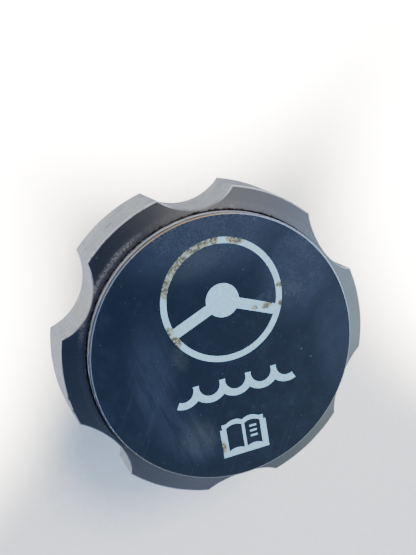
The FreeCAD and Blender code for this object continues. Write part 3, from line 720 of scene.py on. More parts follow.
@dataclass(frozen=True)
class FaceGloss(FaceFinish):
    """The dark glossy sheet of the face, hazed by wiping, with a painted highlight line along its edge.

    Attributes:
        colour: the sheet.
        haze: wiping haze.
        film: grey-brown greasy film.
        edge_highlight_and_dust: the painted highlight line along the sheet's edge, and the colour of the dust
            specks on the sheet.
        tan_edge_highlight: the tan of that painted highlight line at the top.
        beige_edge_highlight: the beige of that painted highlight line at the foot.
        bevel_side: the bevel outside that line.
    """

    colour: Colour
    haze: Colour
    film: Colour
    edge_highlight_and_dust: Colour
    tan_edge_highlight: Colour
    beige_edge_highlight: Colour
    bevel_side: Colour

    def paint(self, graph: SurfaceGraph) -> None:
        """Wipe haze, film, specks and scratches over the sheet; see Finish.paint."""
        place = self.place(graph)
        streaks = Scratches().mask(graph, place, turn=-0.25, fineness=16.0, stretch=9.0, amount=1.0)
        wiped = graph.most(mark.mask(graph, place) for mark in STREAKS)
        streaky = graph.times(wiped, graph.between(streaks, 0.45, 1.0))
        breath = graph.most(mark.mask(graph, place) for mark in HAZES)
        mottle = graph.between(graph.noise(place, 44.0, detail=4.0, rough=0.8), 0.5, 1.4)
        film = graph.most(mark.mask(graph, place) for mark in FILMS)
        cloud = graph.times(graph.clouds(place, 5.0, 0.38, 0.85, detail=7.0, rough=0.75), 0.4)
        haze = graph.times(graph.most((streaky, breath, cloud)), mottle)
        specks = DustSpecks().mask(graph, place, scale=14.0, size=0.11, amount=0.10)
        fine = DustSpecks().mask(graph, place, scale=40.0, size=0.22, amount=0.16)
        dust = graph.math("MAXIMUM", specks, graph.times(fine, 0.5))
        lines = Scratches().mask(graph, place, turn=0.5, fineness=30.0, stretch=30.0, amount=0.45)
        x, y, _ = graph.axes(place)
        radius = graph.length(graph.joined(x, y, 0.0))
        bevel = graph.rise(radius, 0.997, 1.001)
        colour = graph.layers(
            self.colour,
            (graph.times(haze, 0.55), self.haze),
            (graph.times(film, 0.8), self.film),
            (graph.times(lines, 0.15), self.haze),
            # dust specks, in the pale colour that the painted edge highlight also uses
            (graph.times(dust, 0.4), self.edge_highlight_and_dust),
            # the bevel carries the painted highlight line and painted sheen of
            # edge_colour_with_painted_highlight
            (bevel, self.edge_colour_with_painted_highlight(graph, x, y, radius)),
        )
        dull = graph.plus(graph.plus(0.13, graph.times(haze, 0.22)), graph.times(film, 0.15))
        dull = graph.between(bevel, dull, 0.32)
        ripple = graph.noise(place, 1.6, detail=1.0)
        graph.surface(colour, dull, ripple, 0.00001)

    def edge_colour_with_painted_highlight(self, graph: Graph, x: Value, y: Value, radius: Value) -> Socket:
        """Colour the sheet's edge: a painted highlight line, tan at the top and beige at the foot, and the
        bevel outside it, with a painted sheen on its upper right.

        Args:
            graph: the material's graph.
            x: the place across the face, in face radii.
            y: the place up the face.
            radius: the distance from the face's centre.

        Returns:
            The edge's colour.
        """
        top = graph.times(graph.rise(y, 0.75, 0.95), graph.rise(x, 0.4, 0.0))
        foot = graph.rise(y, -0.1, -0.6)
        # painted sheen: the bevel's upper right is lightened towards the highlight colour, as where light
        # falls on it
        painted_sheen_upper_right = graph.times(graph.rise(x, 0.2, 0.5), graph.rise(y, 0.1, 0.4), 0.5)
        line = graph.layers(self.edge_highlight_and_dust, (top, self.tan_edge_highlight), (foot, self.beige_edge_highlight))
        # painted highlight: a thin line just inside the bevel, tan at the top and beige at the foot
        on_line = graph.rise(radius, 1.007, 1.003)
        return graph.layers(self.bevel_side, (painted_sheen_upper_right, self.edge_highlight_and_dust), (on_line, line))


@dataclass(frozen=True)
class PrintedInlay(FaceFinish):
    """The pale inlay of the symbols, chipped and stained in places.

    Attributes:
        colour: the clean inlay, its white print painted dimmer and bluer as painted shade.
        shade: its slightly deeper tone, at random, with the same painted shade.
        stain: old yellowed dirt.
        rust: brown spots where the dirt is thickest.
        chip: bare dark places.
    """

    colour: Colour
    shade: Colour
    stain: Colour
    rust: Colour
    chip: Colour

    def paint(self, graph: SurfaceGraph) -> None:
        """Stain and chip the inlay; see Finish.paint."""
        place = self.place(graph)
        mottle = graph.noise(place, 30.0, detail=4.0, rough=0.7)
        stained = graph.most(mark.mask(graph, place) for mark in STAINS)
        pits = graph.clouds(place, 52.0, 0.45, 0.50, detail=4.0, rough=0.7)
        chipped = graph.times(pits, graph.rise(stained, 0.3, 0.6))
        blotches = graph.clouds(place, 40.0, 0.36, 0.50, detail=5.0, rough=0.75)
        blotched = graph.between(blotches, 0.6, 1.0)
        colour = graph.layers(
            self.shade,
            (graph.rise(mottle, 0.35, 0.7), self.colour),
            (graph.times(graph.rise(stained, 0.05, 0.5), blotched), self.stain),
            (graph.times(graph.rise(stained, 0.82, 0.98), 0.75), self.rust),
            (graph.times(chipped, 0.85), self.chip),
        )
        graph.surface(colour, graph.plus(0.3, graph.times(stained, 0.3)), mottle, 0.00001)


@dataclass(frozen=True)
class Rubber(Finish):
    """Matte rubber with a faint bloom.

    Attributes:
        colour: the rubber.
        bloom: the grey bloom on it.
    """

    colour: Colour
    bloom: Colour

    def paint(self, graph: SurfaceGraph) -> None:
        """Cloud the rubber with bloom; see Finish.paint."""
        place = graph.millimetres()
        grain = MouldedGrain().place(graph, place, scale=9.0, roughness=0.62, variation=0.12)
        bloom = graph.clouds(place, 0.7, 0.42, 0.8, detail=5.0, rough=0.7)
        colour = graph.colours(graph.times(bloom, 0.5), self.colour, self.bloom)
        graph.surface(colour, grain["Roughness"], grain["Height"], 0.00002)


@dataclass(frozen=True)
class Metal(Finish):
    """Metal with the fine lines of its making, and a little tarnish.

    Attributes:
        colour: the clean metal.
        tarnish: the dulled metal.
        mark: the way the surface was made.
        roughness: the mean roughness.
    """

    colour: Colour
    tarnish: Colour
    mark: ToolMark
    roughness: float = 0.28

    def lines(self, graph: Graph, place: Value) -> Socket:
        """Draw the tool's lines: rings when turned, lengthwise when drawn, and mottle when stamped.

        Args:
            graph: the material's graph.
            place: the place in millimetres.

        Returns:
            The lines' height.
        """
        x, y, z = graph.axes(place)
        radius = graph.length(graph.joined(x, y, 0.0))
        if self.mark is ToolMark.TURNED:
            return graph.noise(graph.joined(radius, z, 0.0), 9.0, detail=2.0)
        if self.mark is ToolMark.DRAWN:
            return graph.noise(graph.joined(graph.times(radius, 6.0), graph.math("ARCTAN2", y, x), z), 4.0)
        return graph.noise(place, 5.0, detail=4.0, rough=0.6)

    def paint(self, graph: SurfaceGraph) -> None:
        """Tarnish the metal and give it its lines; see Finish.paint."""
        place = graph.millimetres()
        lines = self.lines(graph, place)
        dulled = graph.clouds(place, 0.8, 0.45, 0.75, detail=5.0, rough=0.65)
        wear = EdgeWear().mask(graph, place, width=0.0002, amount=0.8)
        kept = graph.times(dulled, graph.minus(1.0, wear))
        colour = graph.colours(graph.times(kept, 0.7), self.colour, self.tarnish)
        rough = graph.plus(self.roughness, graph.times(graph.plus(lines, kept), 0.12))
        graph.surface(colour, rough, lines, 0.000012)
        graph.shader.inputs["Metallic"].default_value = 1.0


@dataclass(frozen=True)
class Granular(Finish):
    """A matte mass with no skin, such as foam or packed dust.

    Attributes:
        colour: the mass.
        shade: its darker parts.
        grain: how many grains there are per millimetre.
    """

    colour: Colour
    shade: Colour
    grain: float = 2.0

    def paint(self, graph: SurfaceGraph) -> None:
        """Mottle the mass from light to dark; see Finish.paint."""
        place = graph.millimetres()
        grains = graph.noise(place, self.grain, detail=5.0, rough=0.75)
        colour = graph.colours(graph.rise(grains, 0.35, 0.65), self.shade, self.colour)
        graph.surface(colour, 0.9, grains, 0.00006)
        graph.shader.inputs["Specular IOR Level"].default_value = 0.2


# Geometry node trees


@dataclass
class ShapeGraph(Graph):
    """The node tree of a rule that makes a piece."""

    def place(self) -> Socket:
        """Give each point's place."""
        return self.node("GeometryNodeInputPosition").outputs[0]

    def circle(self, points: int, radius: Value) -> Socket:
        """Draw a circle."""
        inputs = {"Resolution": points, "Radius": radius}
        return self.node("GeometryNodeCurvePrimitiveCircle", inputs).outputs[0]

    def swept(self, path: Socket, section: Socket, caps: bool = False) -> Socket:
        """Sweep a section along a path."""
        inputs = {"Curve": path, "Profile Curve": section, "Fill Caps": caps}
        return self.node("GeometryNodeCurveToMesh", inputs).outputs[0]

    def lifted(self, shape: Socket, height: Value) -> Socket:
        """Lift a whole shape."""
        inputs = {"Geometry": shape, "Translation": self.joined(0.0, 0.0, height)}
        return self.node("GeometryNodeTransform", inputs).outputs[0]

    def set_points(self, shape: Socket, **inputs: Value) -> Socket:
        """Give a shape's points a new position or an offset."""
        named = {socket_name(name): value for name, value in inputs.items()}
        return self.node("GeometryNodeSetPosition", {"Geometry": shape, **named}).outputs[0]

    def chance(self, low: Value, high: Value, seed: Value) -> Socket:
        """Draw a random vector for each point."""
        inputs = {"Min": low, "Max": high, "Seed": seed}
        return self.node("FunctionNodeRandomValue", inputs, data_type="FLOAT_VECTOR").outputs[0]


class Pattern(ABC):
    """A rule that makes a piece, kept as one geometry node tree with named sizes."""

    title: ClassVar[str]
    sizes: ClassVar[dict[str, float | int]]

    @abstractmethod
    def draw(self, graph: ShapeGraph, given: Sockets) -> Socket:
        """Build the rule from its sizes by name, and give the geometry that it makes."""

    def piece(self, name: str, finish: Finish, **values: float | int) -> bpy.types.Object:
        """Run the rule once and keep what it makes as a plain mesh.

        Args:
            name: the piece's name.
            finish: its finish.
            **values: its sizes.

        Returns:
            The finished piece, at the origin.
        """
        tree = bpy.data.node_groups.new(self.title, "GeometryNodeTree")
        tree.interface.new_socket("Geometry", in_out="INPUT", socket_type="NodeSocketGeometry")
        identifiers = {}
        for size, value in self.sizes.items():
            made = tree.interface.new_socket(size, in_out="INPUT", socket_type=SOCKETS[type(value)])
            identifiers[size] = made.identifier
        tree.interface.new_socket("Geometry", in_out="OUTPUT", socket_type="NodeSocketGeometry")
        graph = ShapeGraph(tree)
        given = graph.node("NodeGroupInput").outputs
        shape = self.draw(graph, {size: given[size] for size in self.sizes})
        for kind in ("GeometryNodeRealizeInstances", "GeometryNodeSetShadeSmooth"):
            shape = graph.node(kind, {"Geometry": shape}).outputs[0]
        dressed = graph.node("GeometryNodeSetMaterial", {"Geometry": shape})
        dressed.inputs["Material"].default_value = finish.material()
        graph.node("NodeGroupOutput", {"Geometry": dressed.outputs[0]})

        made = bpy.data.objects.new(name, bpy.data.meshes.new(name))
        bpy.context.scene.collection.objects.link(made)
        modifier = made.modifiers.new(self.title, "NODES")
        modifier.node_group = tree
        for size, value in values.items():
            modifier[identifiers[socket_name(size)]] = value
        evaluated = made.evaluated_get(bpy.context.evaluated_depsgraph_get())
        mesh = bpy.data.meshes.new_from_object(evaluated)
        made.modifiers.clear()
        made.data = mesh
        mesh.name = name
        return made


class CoilPattern(Pattern):
    """A compression spring whose ends are ground flat."""

    title = "wound coil"
    sizes = {"Coil Radius": 0.0074, "Wire Radius": 0.0004, "Turns": 4.5, "Low": 0.0, "High": 0.009}

    def draw(self, graph: ShapeGraph, given: Sockets) -> Socket:
        """Wind the wire and flatten its two ends; see Pattern.draw."""
        spiral = graph.node("GeometryNodeCurveSpiral", {
            "Resolution": 96, "Rotations": given["Turns"], "Start Radius": given["Coil Radius"],
            "End Radius": given["Coil Radius"],
            "Height": graph.plus(graph.minus(given["High"], given["Low"]), given["Wire Radius"]),
        }).outputs[0]
        wire = graph.swept(spiral, graph.circle(14, given["Wire Radius"]), caps=True)
        raised = graph.lifted(wire, graph.minus(given["Low"], graph.times(given["Wire Radius"], 0.5)))
        x, y, z = graph.axes(graph.place())
        ground = graph.math("MINIMUM", graph.math("MAXIMUM", z, given["Low"]), given["High"])
        return graph.set_points(raised, position=graph.joined(x, y, ground))


class PackedDustPattern(Pattern):
    """Dust that has packed into a ring-shaped gap, higher in some places than in others."""

    title = "packed dust"
    sizes = {"Ring Radius": 0.03115, "Half Width": 0.00017, "Floor": 0.0093, "Top": 0.01025}

    def draw(self, graph: ShapeGraph, given: Sockets) -> Socket:
        """Lay a soft bead along the gap and let its crest rise and fall; see Pattern.draw."""
        bead = graph.swept(graph.circle(900, given["Ring Radius"]), graph.circle(10, given["Half Width"]))
        x, y, z = graph.axes(graph.place())
        packed = graph.clouds(graph.joined(x, y, 0.0), 420.0, 0.35, 0.62, detail=4.0, rough=0.7)
        upper = graph.rise(graph.minus(y, graph.times(x, 0.1)), 0.008, 0.024)
        fill = graph.times(graph.between(packed, 0.25, 1.0), graph.between(upper, 0.3, 1.0))
        width = graph.times(given["Half Width"], 2.0)
        share = graph.math("DIVIDE", graph.plus(z, given["Half Width"]), width)
        crest = graph.times(share, graph.minus(given["Top"], given["Floor"]), fill)
        return graph.set_points(bead, position=graph.joined(x, y, graph.plus(given["Floor"], crest)))


class CrumbPattern(Pattern):
    """Crumbs of dirt caught along a round edge, in clumps, mostly along its upper left."""

    title = "crumbs"
    sizes = {"Ring Radius": 0.03135, "Half Width": 0.0002, "Height": 0.0103, "Crumb": 0.00017, "Count": 3000,
             "Seed": 7}

    def draw(self, graph: ShapeGraph, given: Sockets) -> Socket:
        """Scatter crumbs on a circle and keep clumps on the dirty side; see Pattern.draw."""
        spots = graph.node("GeometryNodeCurveToPoints", {
            "Curve": graph.circle(360, given["Ring Radius"]), "Count": given["Count"],
        }, mode="COUNT").outputs[0]
        reach = graph.joined(given["Half Width"], given["Half Width"], 0.0)
        drift = graph.chance((-1.0, -1.0, -1.0), (1.0, 1.0, 1.0), given["Seed"])
        height = graph.joined(0.0, 0.0, given["Height"])
        offset = graph.vector("ADD", graph.vector("MULTIPLY", drift, reach), height)
        strewn = graph.set_points(spots, offset=offset)
        place = graph.place()
        x, y, _ = graph.axes(place)
        upper_left = graph.rise(graph.minus(graph.times(y, 0.8), graph.times(x, 0.6)), -0.004, 0.030)
        clumps = graph.clouds(place, 800.0, 0.42, 0.54, detail=2.0)
        lot = graph.node("FunctionNodeRandomValue", {"Seed": graph.plus(given["Seed"], 1)}, data_type="FLOAT")
        size = graph.chance((0.35, 0.35, 0.25), (1.0, 1.0, 0.7), graph.plus(given["Seed"], 2))
        grit = graph.node("GeometryNodeMeshIcoSphere", {"Radius": given["Crumb"], "Subdivisions": 1})
        return graph.node("GeometryNodeInstanceOnPoints", {
            "Points": strewn, "Instance": grit.outputs[0],
            "Selection": graph.math("LESS_THAN", lot.outputs[1], graph.times(upper_left, clumps)),
            "Scale": graph.scaled(size, graph.between(upper_left, 0.3, 1.0)),
            "Rotation": graph.vector("MULTIPLY", drift, (3.0, 3.0, 3.0)),
        }).outputs[0]


class FoamPattern(Pattern):
    """A disc of open-cell foam with a pitted skin."""

    title = "open foam"
    sizes = {"Radius": 0.0168, "Low": -0.002, "High": 0.0034, "Pit": 0.0003, "Cell": 900.0}

    def draw(self, graph: ShapeGraph, given: Sockets) -> Socket:
        """Pit a fine-meshed disc inwards; see Pattern.draw."""
        disc = graph.node("GeometryNodeMeshCylinder", {
            "Vertices": 160, "Side Segments": 10, "Fill Segments": 30, "Radius": given["Radius"],
            "Depth": graph.minus(given["High"], given["Low"]),
        }, fill_type="TRIANGLE_FAN").outputs["Mesh"]
        raised = graph.lifted(disc, graph.times(graph.plus(given["High"], given["Low"]), 0.5))
        pits = graph.clouds(graph.place(), given["Cell"], 0.62, 0.4)
        normal = graph.node("GeometryNodeInputNormal").outputs[0]
        return graph.set_points(raised, offset=graph.scaled(normal, graph.times(pits, given["Pit"], -1.0)))


# Sub-assemblies


BLACK_PLASTIC = MouldedPlastic("body plastic", colour=(0.022, 0.022, 0.025), worn=(0.13, 0.13, 0.135),
                               roughness=0.38, wear=0.55)
BLACK_RUBBER = Rubber("black rubber", colour=(0.014, 0.014, 0.015), bloom=(0.07, 0.07, 0.072))
STAMPED_STEEL = Metal("stamped steel", colour=(0.56, 0.56, 0.57), tarnish=(0.30, 0.29, 0.27),
                      mark=ToolMark.STAMPED)


def dress(finish: Finish, *nodes: str) -> None:
    """Give nodes of the frame their finish.

    Args:
        finish: the finish.
        *nodes: the nodes' names.
    """
    for node in nodes:
        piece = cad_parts[node]
        if not piece.material_slots:
            piece.data.materials.append(None)
        for slot in piece.material_slots:
            slot.material = finish.material()
        log.info("dressed %s in %s", node, finish.title)


def add_piece(piece: bpy.types.Object, body: Body) -> None:
    """Let a new piece ride on a body.

    Args:
        piece: the piece.
        body: the body that it moves with.
    """
    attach(piece, body.value)
    log.info("made %s, %d faces, on %s", piece.name, len(piece.data.polygons), body.value)


def in_millimetres(node: str) -> tuple[Vector, Vector]:
    """Give a node's lowest and highest corner in millimetres."""
    low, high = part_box(node)
    return low / MM, high / MM


@dataclass
class Face:
    """The glossy sheet with its three inlaid symbols.

    Attributes:
        bevel: the width of the sheet's bevel in millimetres.
    """

    bevel: float = 0.45

    def build(self) -> None:
        """Dress the sheet and the symbols."""
        _, high = in_millimetres("face_disc")
        radius = high.x - self.bevel
        # edge_highlight_and_dust, tan_edge_highlight and beige_edge_highlight colour the painted highlight
        # line round the sheet's edge
        dress(FaceGloss(
            "face gloss", radius, high.z, colour=(0.0010, 0.0020, 0.0048), haze=(0.026, 0.038, 0.066),
            film=(0.034, 0.036, 0.035), edge_highlight_and_dust=(0.085, 0.11, 0.165), tan_edge_highlight=(0.20, 0.135, 0.055),
            beige_edge_highlight=(0.120, 0.105, 0.085), bevel_side=(0.014, 0.017, 0.024),
        ), "face_disc")
        # the inlay colours are the white print, dimmed and tinted blue by painted shade
        dress(PrintedInlay(
            "pale inlay", radius, high.z, colour=(0.25, 0.45, 0.54), shade=(0.20, 0.38, 0.47),
            stain=(0.21, 0.22, 0.13), rust=(0.085, 0.060, 0.035), chip=(0.014, 0.011, 0.008),
        ), "wheel_symbol", "level_symbol", "manual_symbol")


@dataclass
class Cover:
    """The carrier under the sheet, and the dust in the gap round it.

    Attributes:
        gap: the width of the gap round the carrier in metres.
        gap_depth: how deep the gap is, in metres.
        clearance: how far the dust stays off the two walls, in metres.
        dust_fill: how much of the gap's depth the dust fills.
        crumb_spread: how far crumbs lie from the gap's edge, in widths of the gap.
        crumb_size: the radius of a large crumb, in widths of the gap.
        plastic: the carrier's finish.
        dust: the finish of the dust in the gap.
        grime: the finish of the crumbs.
    """

    gap: float = 0.4 * MM
    gap_depth: float = 1.0 * MM
    clearance: float = 0.02 * MM
    dust_fill: float = 0.95
    crumb_spread: float = 0.45
    crumb_size: float = 0.6
    plastic: Finish = MouldedPlastic("cover plastic", colour=(0.17, 0.18, 0.20), worn=(0.42, 0.43, 0.45),
                                     roughness=0.4, wear=0.8, dustiness=0.4)
    dust: Finish = Granular("packed dust", colour=(0.05, 0.044, 0.038), shade=(0.006, 0.006, 0.007),
                            grain=3.5)
    grime: Finish = Granular("caked grime", colour=(0.010, 0.009, 0.010), shade=(0.004, 0.004, 0.005),
                             grain=3.5)

    def build(self) -> None:
        """Dress the carrier and fill the gap with dust."""
        dress(self.plastic, "cover_base")
        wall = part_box("cover_base")[1].x
        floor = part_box("grip_shell")[1].z - self.gap_depth
        add_piece(PackedDustPattern().piece(
            "gap_dust", self.dust, ring_radius=wall + self.gap / 2, half_width=self.gap / 2 - self.clearance,
            floor=floor, top=floor + self.dust_fill * self.gap_depth,
        ), Body.CAP)
        add_piece(CrumbPattern().piece(
            "gap_crumbs", self.grime, ring_radius=wall + self.gap, half_width=self.crumb_spread * self.gap,
            height=floor + self.gap_depth, crumb=self.crumb_size * self.gap, count=2400, seed=7,
        ), Body.CAP)


@dataclass
class Grip:
    """The lobed grip.

    Attributes:
        recess_radius: the radius of the recess for the cover, in millimetres.
        front_radius: the lobes' radius at the front rim, in millimetres.
        land_radius: the radius at which the land starts to slope down, in millimetres.
        land_drop: how far the front rim lies below the highest edge of the land, in millimetres.
        knock: the direction and height of the knock on one lobe, as degrees and millimetres.
    """

    recess_radius: float = 31.35
    front_radius: float = 36.3
    land_radius: float = 32.0
    land_drop: float = 2.9
    knock: tuple[float, float] = (122.0, 2.2)

    def build(self) -> None:
        """Dress the grip, with its zones set out from its own box."""
        low, high = in_millimetres("grip_shell")
        rim = high.z - self.land_drop
        taper = (high.x - self.front_radius) / (rim - low.z)
        angle, height = self.knock
        radius = self.front_radius + taper * (rim - height)
        place = (radius * math.cos(math.radians(angle)), radius * math.sin(math.radians(angle)), height)
        # scuffed lightens the sides, partly wear and partly painted sheen; edge is the rim line, partly wear
        # and partly painted highlight
        dress(GripPlastic(
            "grip plastic", colour=(0.0020, 0.0030, 0.0060), scuffed_and_painted_sheen=(0.060, 0.063, 0.066),
            edge=(0.26, 0.27, 0.29), dirt=(0.09, 0.088, 0.085), nick=(0.010, 0.010, 0.016),
            recess_radius=self.recess_radius, front_radius=self.front_radius, front_height=rim, taper=taper,
            land_slope=self.land_drop / (self.front_radius - self.land_radius), knock=place,
        ), "grip_shell")


@dataclass
class Plug:
    """The threaded body with its gasket and the screws that hold the grip."""

    zinc: Finish = Metal("zinc plate", colour=(0.62, 0.62, 0.60), tarnish=(0.33, 0.31, 0.27),
                         mark=ToolMark.STAMPED)

    def build(self) -> None:
        """Dress the body, the gasket and the screws."""
        dress(BLACK_PLASTIC, "cap_body")
        dress(BLACK_RUBBER, "neck_gasket")
        dress(self.zinc, "grip_screws")


@dataclass
class Breather:
    """The foam disc and the open ring that holds it.

    Attributes:
        side_play: how far the foam's skin stays off the chamber's wall, in metres.
        pit: how deep the foam's pits are, in metres.
        cell: how many pits there are per metre.
        foam: the foam's finish.
    """

    side_play: float = 0.05 * MM
    pit: float = 0.35 * MM
    cell: float = 900.0
    foam: Finish = Granular("filter foam", colour=(0.50, 0.45, 0.32), shade=(0.16, 0.13, 0.08), grain=1.6)

    def build(self) -> None:
        """Make the foam and dress its retainer."""
        low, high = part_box("breather_filter")
        foam = FoamPattern().piece("breather_foam", self.foam, radius=high.x - self.side_play, low=low.z,
                                   high=high.z, pit=self.pit, cell=self.cell)
        add_piece(foam, Body.CAP)
        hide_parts("breather_filter")
        dress(BLACK_PLASTIC, "filter_retainer")


@dataclass(frozen=True)
class Spring:
    """One valve spring, wound in the place of its node.

    Attributes:
        node: the node that it replaces.
        name: the piece's name.
        coil_radius: the radius to the middle of the wire, in metres.
        wire_radius: the radius of the wire, in metres.
        turns: how many turns it has.
        body: the body that it rides on.
        joint: the joint that squeezes it.
        steel: its finish.
    """

    node: str
    name: str
    coil_radius: float
    wire_radius: float
    turns: float
    body: Body
    joint: str
    steel: Finish = Metal("spring steel", colour=(0.58, 0.58, 0.58), tarnish=(0.30, 0.28, 0.25),
                          mark=ToolMark.DRAWN)

    def build(self, held_height: float) -> None:
        """Wind the spring in its node's place and hide the node.

        Args:
            held_height: not used; the height of the end that stays still on its body, in metres.
        """
        low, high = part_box(self.node)
        coil = CoilPattern().piece(self.name, self.steel, coil_radius=self.coil_radius,
                                   wire_radius=self.wire_radius, turns=self.turns, low=low.z, high=high.z)
        add_piece(coil, self.body)
        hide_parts(self.node)
        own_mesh(coil)


@dataclass
class ValveSet:
    """The housing with the pressure valve, the vacuum valve and their springs."""

    acetal: Finish = MouldedPlastic("natural acetal", colour=(0.72, 0.69, 0.60), worn=(0.80, 0.78, 0.72),
                                    dust=(0.42, 0.34, 0.22), roughness=0.34, wear=0.3, dustiness=0.35,
                                    translucent=0.3)
    brass: Finish = Metal("turned brass", colour=(0.66, 0.48, 0.20), tarnish=(0.30, 0.20, 0.09),
                          mark=ToolMark.TURNED)
    pressure_spring: Spring = Spring(
        "pressure_spring", "pressure_coil", coil_radius=7.4 * MM, wire_radius=0.4 * MM, turns=4.5,
        body=Body.CAP, joint="pressure_valve_lift")
    vacuum_spring: Spring = Spring(
        "vacuum_spring", "vacuum_coil", coil_radius=4.3 * MM, wire_radius=0.22 * MM, turns=5.5,
        body=Body.PRESSURE_SET, joint="vacuum_valve_drop")

    def build(self) -> None:
        """Dress the valves and wind their springs."""
        dress(self.acetal, "valve_housing")
        dress(BLACK_RUBBER, "housing_o_ring", "pressure_seal", "vacuum_seal")
        dress(STAMPED_STEEL, "spring_plate", "stem_clip")
        dress(self.brass, "pressure_valve", "vacuum_valve")
        self.pressure_spring.build(held_height=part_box("spring_plate")[0].z)
        self.vacuum_spring.build(held_height=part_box("vacuum_spring")[0].z)


@dataclass
class Strainer:
    """The screen, the splash baffle and the ring that holds them in the tube."""

    def build(self) -> None:
        """Dress the three parts."""
        dress(STAMPED_STEEL, "strainer_screen", "retaining_ring")
        dress(BLACK_PLASTIC, "splash_baffle")


# The studio


@dataclass(frozen=True)
class SkyPatch:
    """A soft bright or tinted part of the surroundings, as the cap mirrors it.

    Attributes:
        towards: its direction from the cap.
        colour: its light.
        tightness: how small it is; 1 fills half the sky.
    """

    towards: tuple[float, float, float]
    colour: Colour
    tightness: float


@dataclass(frozen=True)
class SoftBox:
    """A square soft light.

    Attributes:
        name: what it is for.
        place: where it hangs, in metres.
        aim: the point that it shines at, in metres.
        size: the length of its side, in metres.
        power: its power in watts.
        colour: its light.
        spread: how wide its beam is, in degrees.
    """

    name: str
    place: tuple[float, float, float]
    aim: tuple[float, float, float]
    size: float
    power: float
    colour: Colour
    spread: float


def table_lamp(name: str, x: float, y: float, height: float = 0.12, **settings: Any) -> SoftBox:
    """Make a lamp that shines straight down on the table."""
    return SoftBox(name, place=(x, y, height), aim=(x, y, 0.0), **settings)


@dataclass
class Studio:
    """The floor, the lights and the surroundings.

    Attributes:
        floor_radius: the radius of the floor, in metres.
        backdrop: the plain colour behind the floor, as the camera sees it.
        ambient: the light that comes from everywhere.
        patches: the parts of the surroundings that the cap mirrors.
        boxes: the soft lights.
    """

    floor_radius: float = 1.6
    backdrop: Colour = (1.9, 1.92, 1.95)
    ambient: Colour = (0.25, 0.38, 0.64)
    patches: tuple[SkyPatch, ...] = (
        SkyPatch((0.97, 0.05, 0.20), (3.3, 4.1, 5.4), 4.0),
        SkyPatch((0.50, 0.72, 0.48), (2.7, 2.5, 2.3), 10.0),
        SkyPatch((0.45, -0.85, 0.10), (0.6, 0.5, 0.55), 5.0),
        SkyPatch((-0.20, -0.90, 0.35), (1.0, 1.2, 1.5), 6.0),
        SkyPatch((0.80, -0.50, 0.10), (0.7, 1.0, 0.4), 6.0),
        SkyPatch((0.10, -0.20, 0.97), (0.0, 0.10, 0.36), 6.0),
        SkyPatch((-0.75, -0.20, 0.60), (0.0, 0.06, 0.45), 5.0),
        SkyPatch((-0.50, 0.10, -0.85), (2.3, 2.5, 2.8), 4.0),
    )
    boxes: tuple[SoftBox, ...] = (
        SoftBox("key", place=(0.16, 0.28, 0.50), aim=(0.0, 0.0, 0.0), size=0.2, power=4.5,
                colour=(1.0, 0.90, 0.76), spread=180.0),
        table_lamp("far table", 0.005, 0.13, size=0.05, power=8.5, colour=(1.0, 0.97, 0.92), spread=62.0),
        table_lamp("left table", -0.12, 0.035, size=0.03, power=5.5, colour=(1.0, 0.97, 0.92), spread=64.0),
        table_lamp("right table", 0.135, 0.02, size=0.03, power=3.0, colour=(1.0, 0.95, 0.86), spread=62.0),
    )

    def build(self) -> None:
        """Set up the studio."""
        self.lay_floor()
        self.paint_surroundings()
        for box in self.boxes:
            self.hang(box)
        log.info("set up the studio")

    def lay_floor(self) -> None:
        """Lay a pale round floor under the cap; shiny parts mirror the lower sky patch in its place."""
        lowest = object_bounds()[0].z
        bpy.ops.mesh.primitive_circle_add(vertices=96, radius=self.floor_radius, fill_type="NGON",
                                          location=(0.0, 0.0, lowest - 0.05 * MM))
        floor = bpy.context.object
        floor.name = "floor"
        floor.data.materials.append(StudioFloor("studio floor", colour=(0.86, 0.82, 0.75),
                                                shade=(0.82, 0.785, 0.725)).material())
        floor.visible_glossy = False
        floor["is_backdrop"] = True

    def paint_surroundings(self) -> None:
        """Make the world's light from its patches."""
        world = bpy.data.worlds.new("studio")
        bpy.context.scene.world = world
        world.use_nodes = True
        world.node_tree.nodes.clear()
        graph = Graph(world.node_tree)
        towards = graph.node("ShaderNodeTexCoord").outputs["Generated"]
        light = graph.joined(*self.ambient)
        for patch in self.patches:
            facing = graph.math("MAXIMUM", graph.dot(towards, Vector(patch.towards).normalized()), 0.0)
            share = graph.math("POWER", facing, patch.tightness)
            light = graph.vector("ADD", light, graph.scaled(patch.colour, share))
        lighting = graph.node("ShaderNodeBackground", {"Color": light}).outputs[0]
        backdrop = graph.node("ShaderNodeBackground", {"Color": self.backdrop}).outputs[0]
        seen = graph.node("ShaderNodeLightPath").outputs["Is Camera Ray"]
        chosen = graph.node("ShaderNodeMixShader", {0: seen, 1: lighting, 2: backdrop}).outputs[0]
        graph.node("ShaderNodeOutputWorld", {"Surface": chosen})

    def hang(self, box: SoftBox) -> None:
        """Hang one soft light so that it shines at its aim.

        Args:
            box: the light.
        """
        light = bpy.data.lights.new(box.name, "AREA")
        light.shape = "SQUARE"
        light.size = box.size
        light.energy = box.power
        light.color = box.colour
        light.spread = math.radians(box.spread)
        lamp = bpy.data.objects.new(box.name, light)
        bpy.context.scene.collection.objects.link(lamp)
        lamp.location = box.place
        lamp.rotation_euler = (Vector(box.aim) - lamp.location).to_track_quat("-Z", "Y").to_euler()


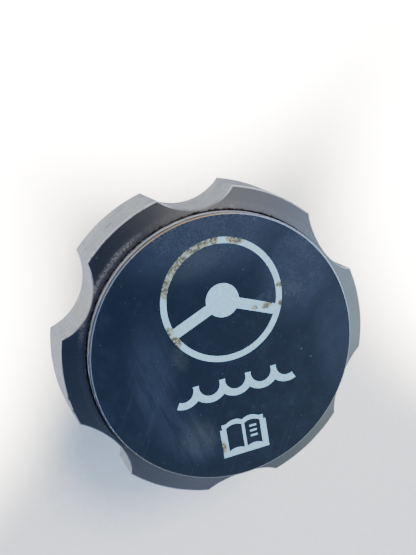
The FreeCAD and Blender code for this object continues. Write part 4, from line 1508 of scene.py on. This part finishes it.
@dataclass(frozen=True)
class StudioFloor(Finish):
    """A pale matte table top with a faint mottle, clear when it is looked at from below.

    Attributes:
        colour: the table.
        shade: its slightly darker patches.
    """

    colour: Colour
    shade: Colour

    def paint(self, graph: SurfaceGraph) -> None:
        """Mottle the table; see Finish.paint."""
        place = graph.millimetres()
        mottle = graph.noise(place, 0.35, detail=4.0, rough=0.6)
        colour = graph.colours(graph.rise(mottle, 0.3, 0.7), self.shade, self.colour)
        grain = graph.noise(place, 0.9, detail=4.0, rough=0.7)
        graph.surface(colour, 0.75, grain, 0.0001)
        from_below = graph.node("ShaderNodeNewGeometry").outputs["Backfacing"]
        graph.feed(graph.shader.inputs["Alpha"], graph.minus(1.0, from_below))


@dataclass
class Camera:
    """The camera, set by where it stands round the face and how it is rolled.

    Attributes:
        face: the node whose front the camera looks at.
        azimuth: where it stands about the axis, in degrees from -Y towards +X.
        elevation: how high it stands over the face, in degrees.
        distance: how far it is from the middle of the face, in metres.
        aim: where its middle ray meets the face, in metres.
        roll: how far it is rolled from upright, in degrees.
        lens: its focal length in millimetres.
        sensor: the long side of its sensor in millimetres.
    """

    face: str = "face_disc"
    azimuth: float = -142.87
    elevation: float = 64.505
    distance: float = 166.99 * MM
    aim: tuple[float, float] = (-1.64 * MM, 17.28 * MM)
    roll: float = 122.31
    lens: float = 48.19
    sensor: float = 36.0

    def build(self) -> None:
        """Make the camera and choose it for the scene."""
        middle = Vector((0.0, 0.0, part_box(self.face)[1].z))
        turn = math.radians(self.azimuth)
        tilt = math.radians(self.elevation)
        outward = Vector((math.sin(turn) * math.cos(tilt), -math.cos(turn) * math.cos(tilt), math.sin(tilt)))
        data = bpy.data.cameras.new("camera")
        data.lens = self.lens
        data.sensor_width = self.sensor
        data.clip_start = 0.01
        data.clip_end = 10.0
        camera = bpy.data.objects.new("camera", data)
        bpy.context.scene.collection.objects.link(camera)
        camera.location = middle + outward * self.distance
        forward = middle + Vector((*self.aim, 0.0)) - camera.location
        camera.rotation_mode = "QUATERNION"
        camera.rotation_quaternion = (forward.to_track_quat("-Z", "Y")
                                      @ Quaternion((0.0, 0.0, 1.0), math.radians(self.roll)))
        bpy.context.scene.camera = camera
        log.info("set the camera")


def main() -> None:
    """Build every class in order."""
    logging.basicConfig(level=logging.INFO, format="%(name)s: %(message)s")
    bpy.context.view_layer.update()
    for assembly in (Grip(), Cover(), Face(), Plug(), Breather(), ValveSet(), Strainer()):
        assembly.build()
    Studio().build()
    Camera().build()


if __name__ == "__main__":
    main()
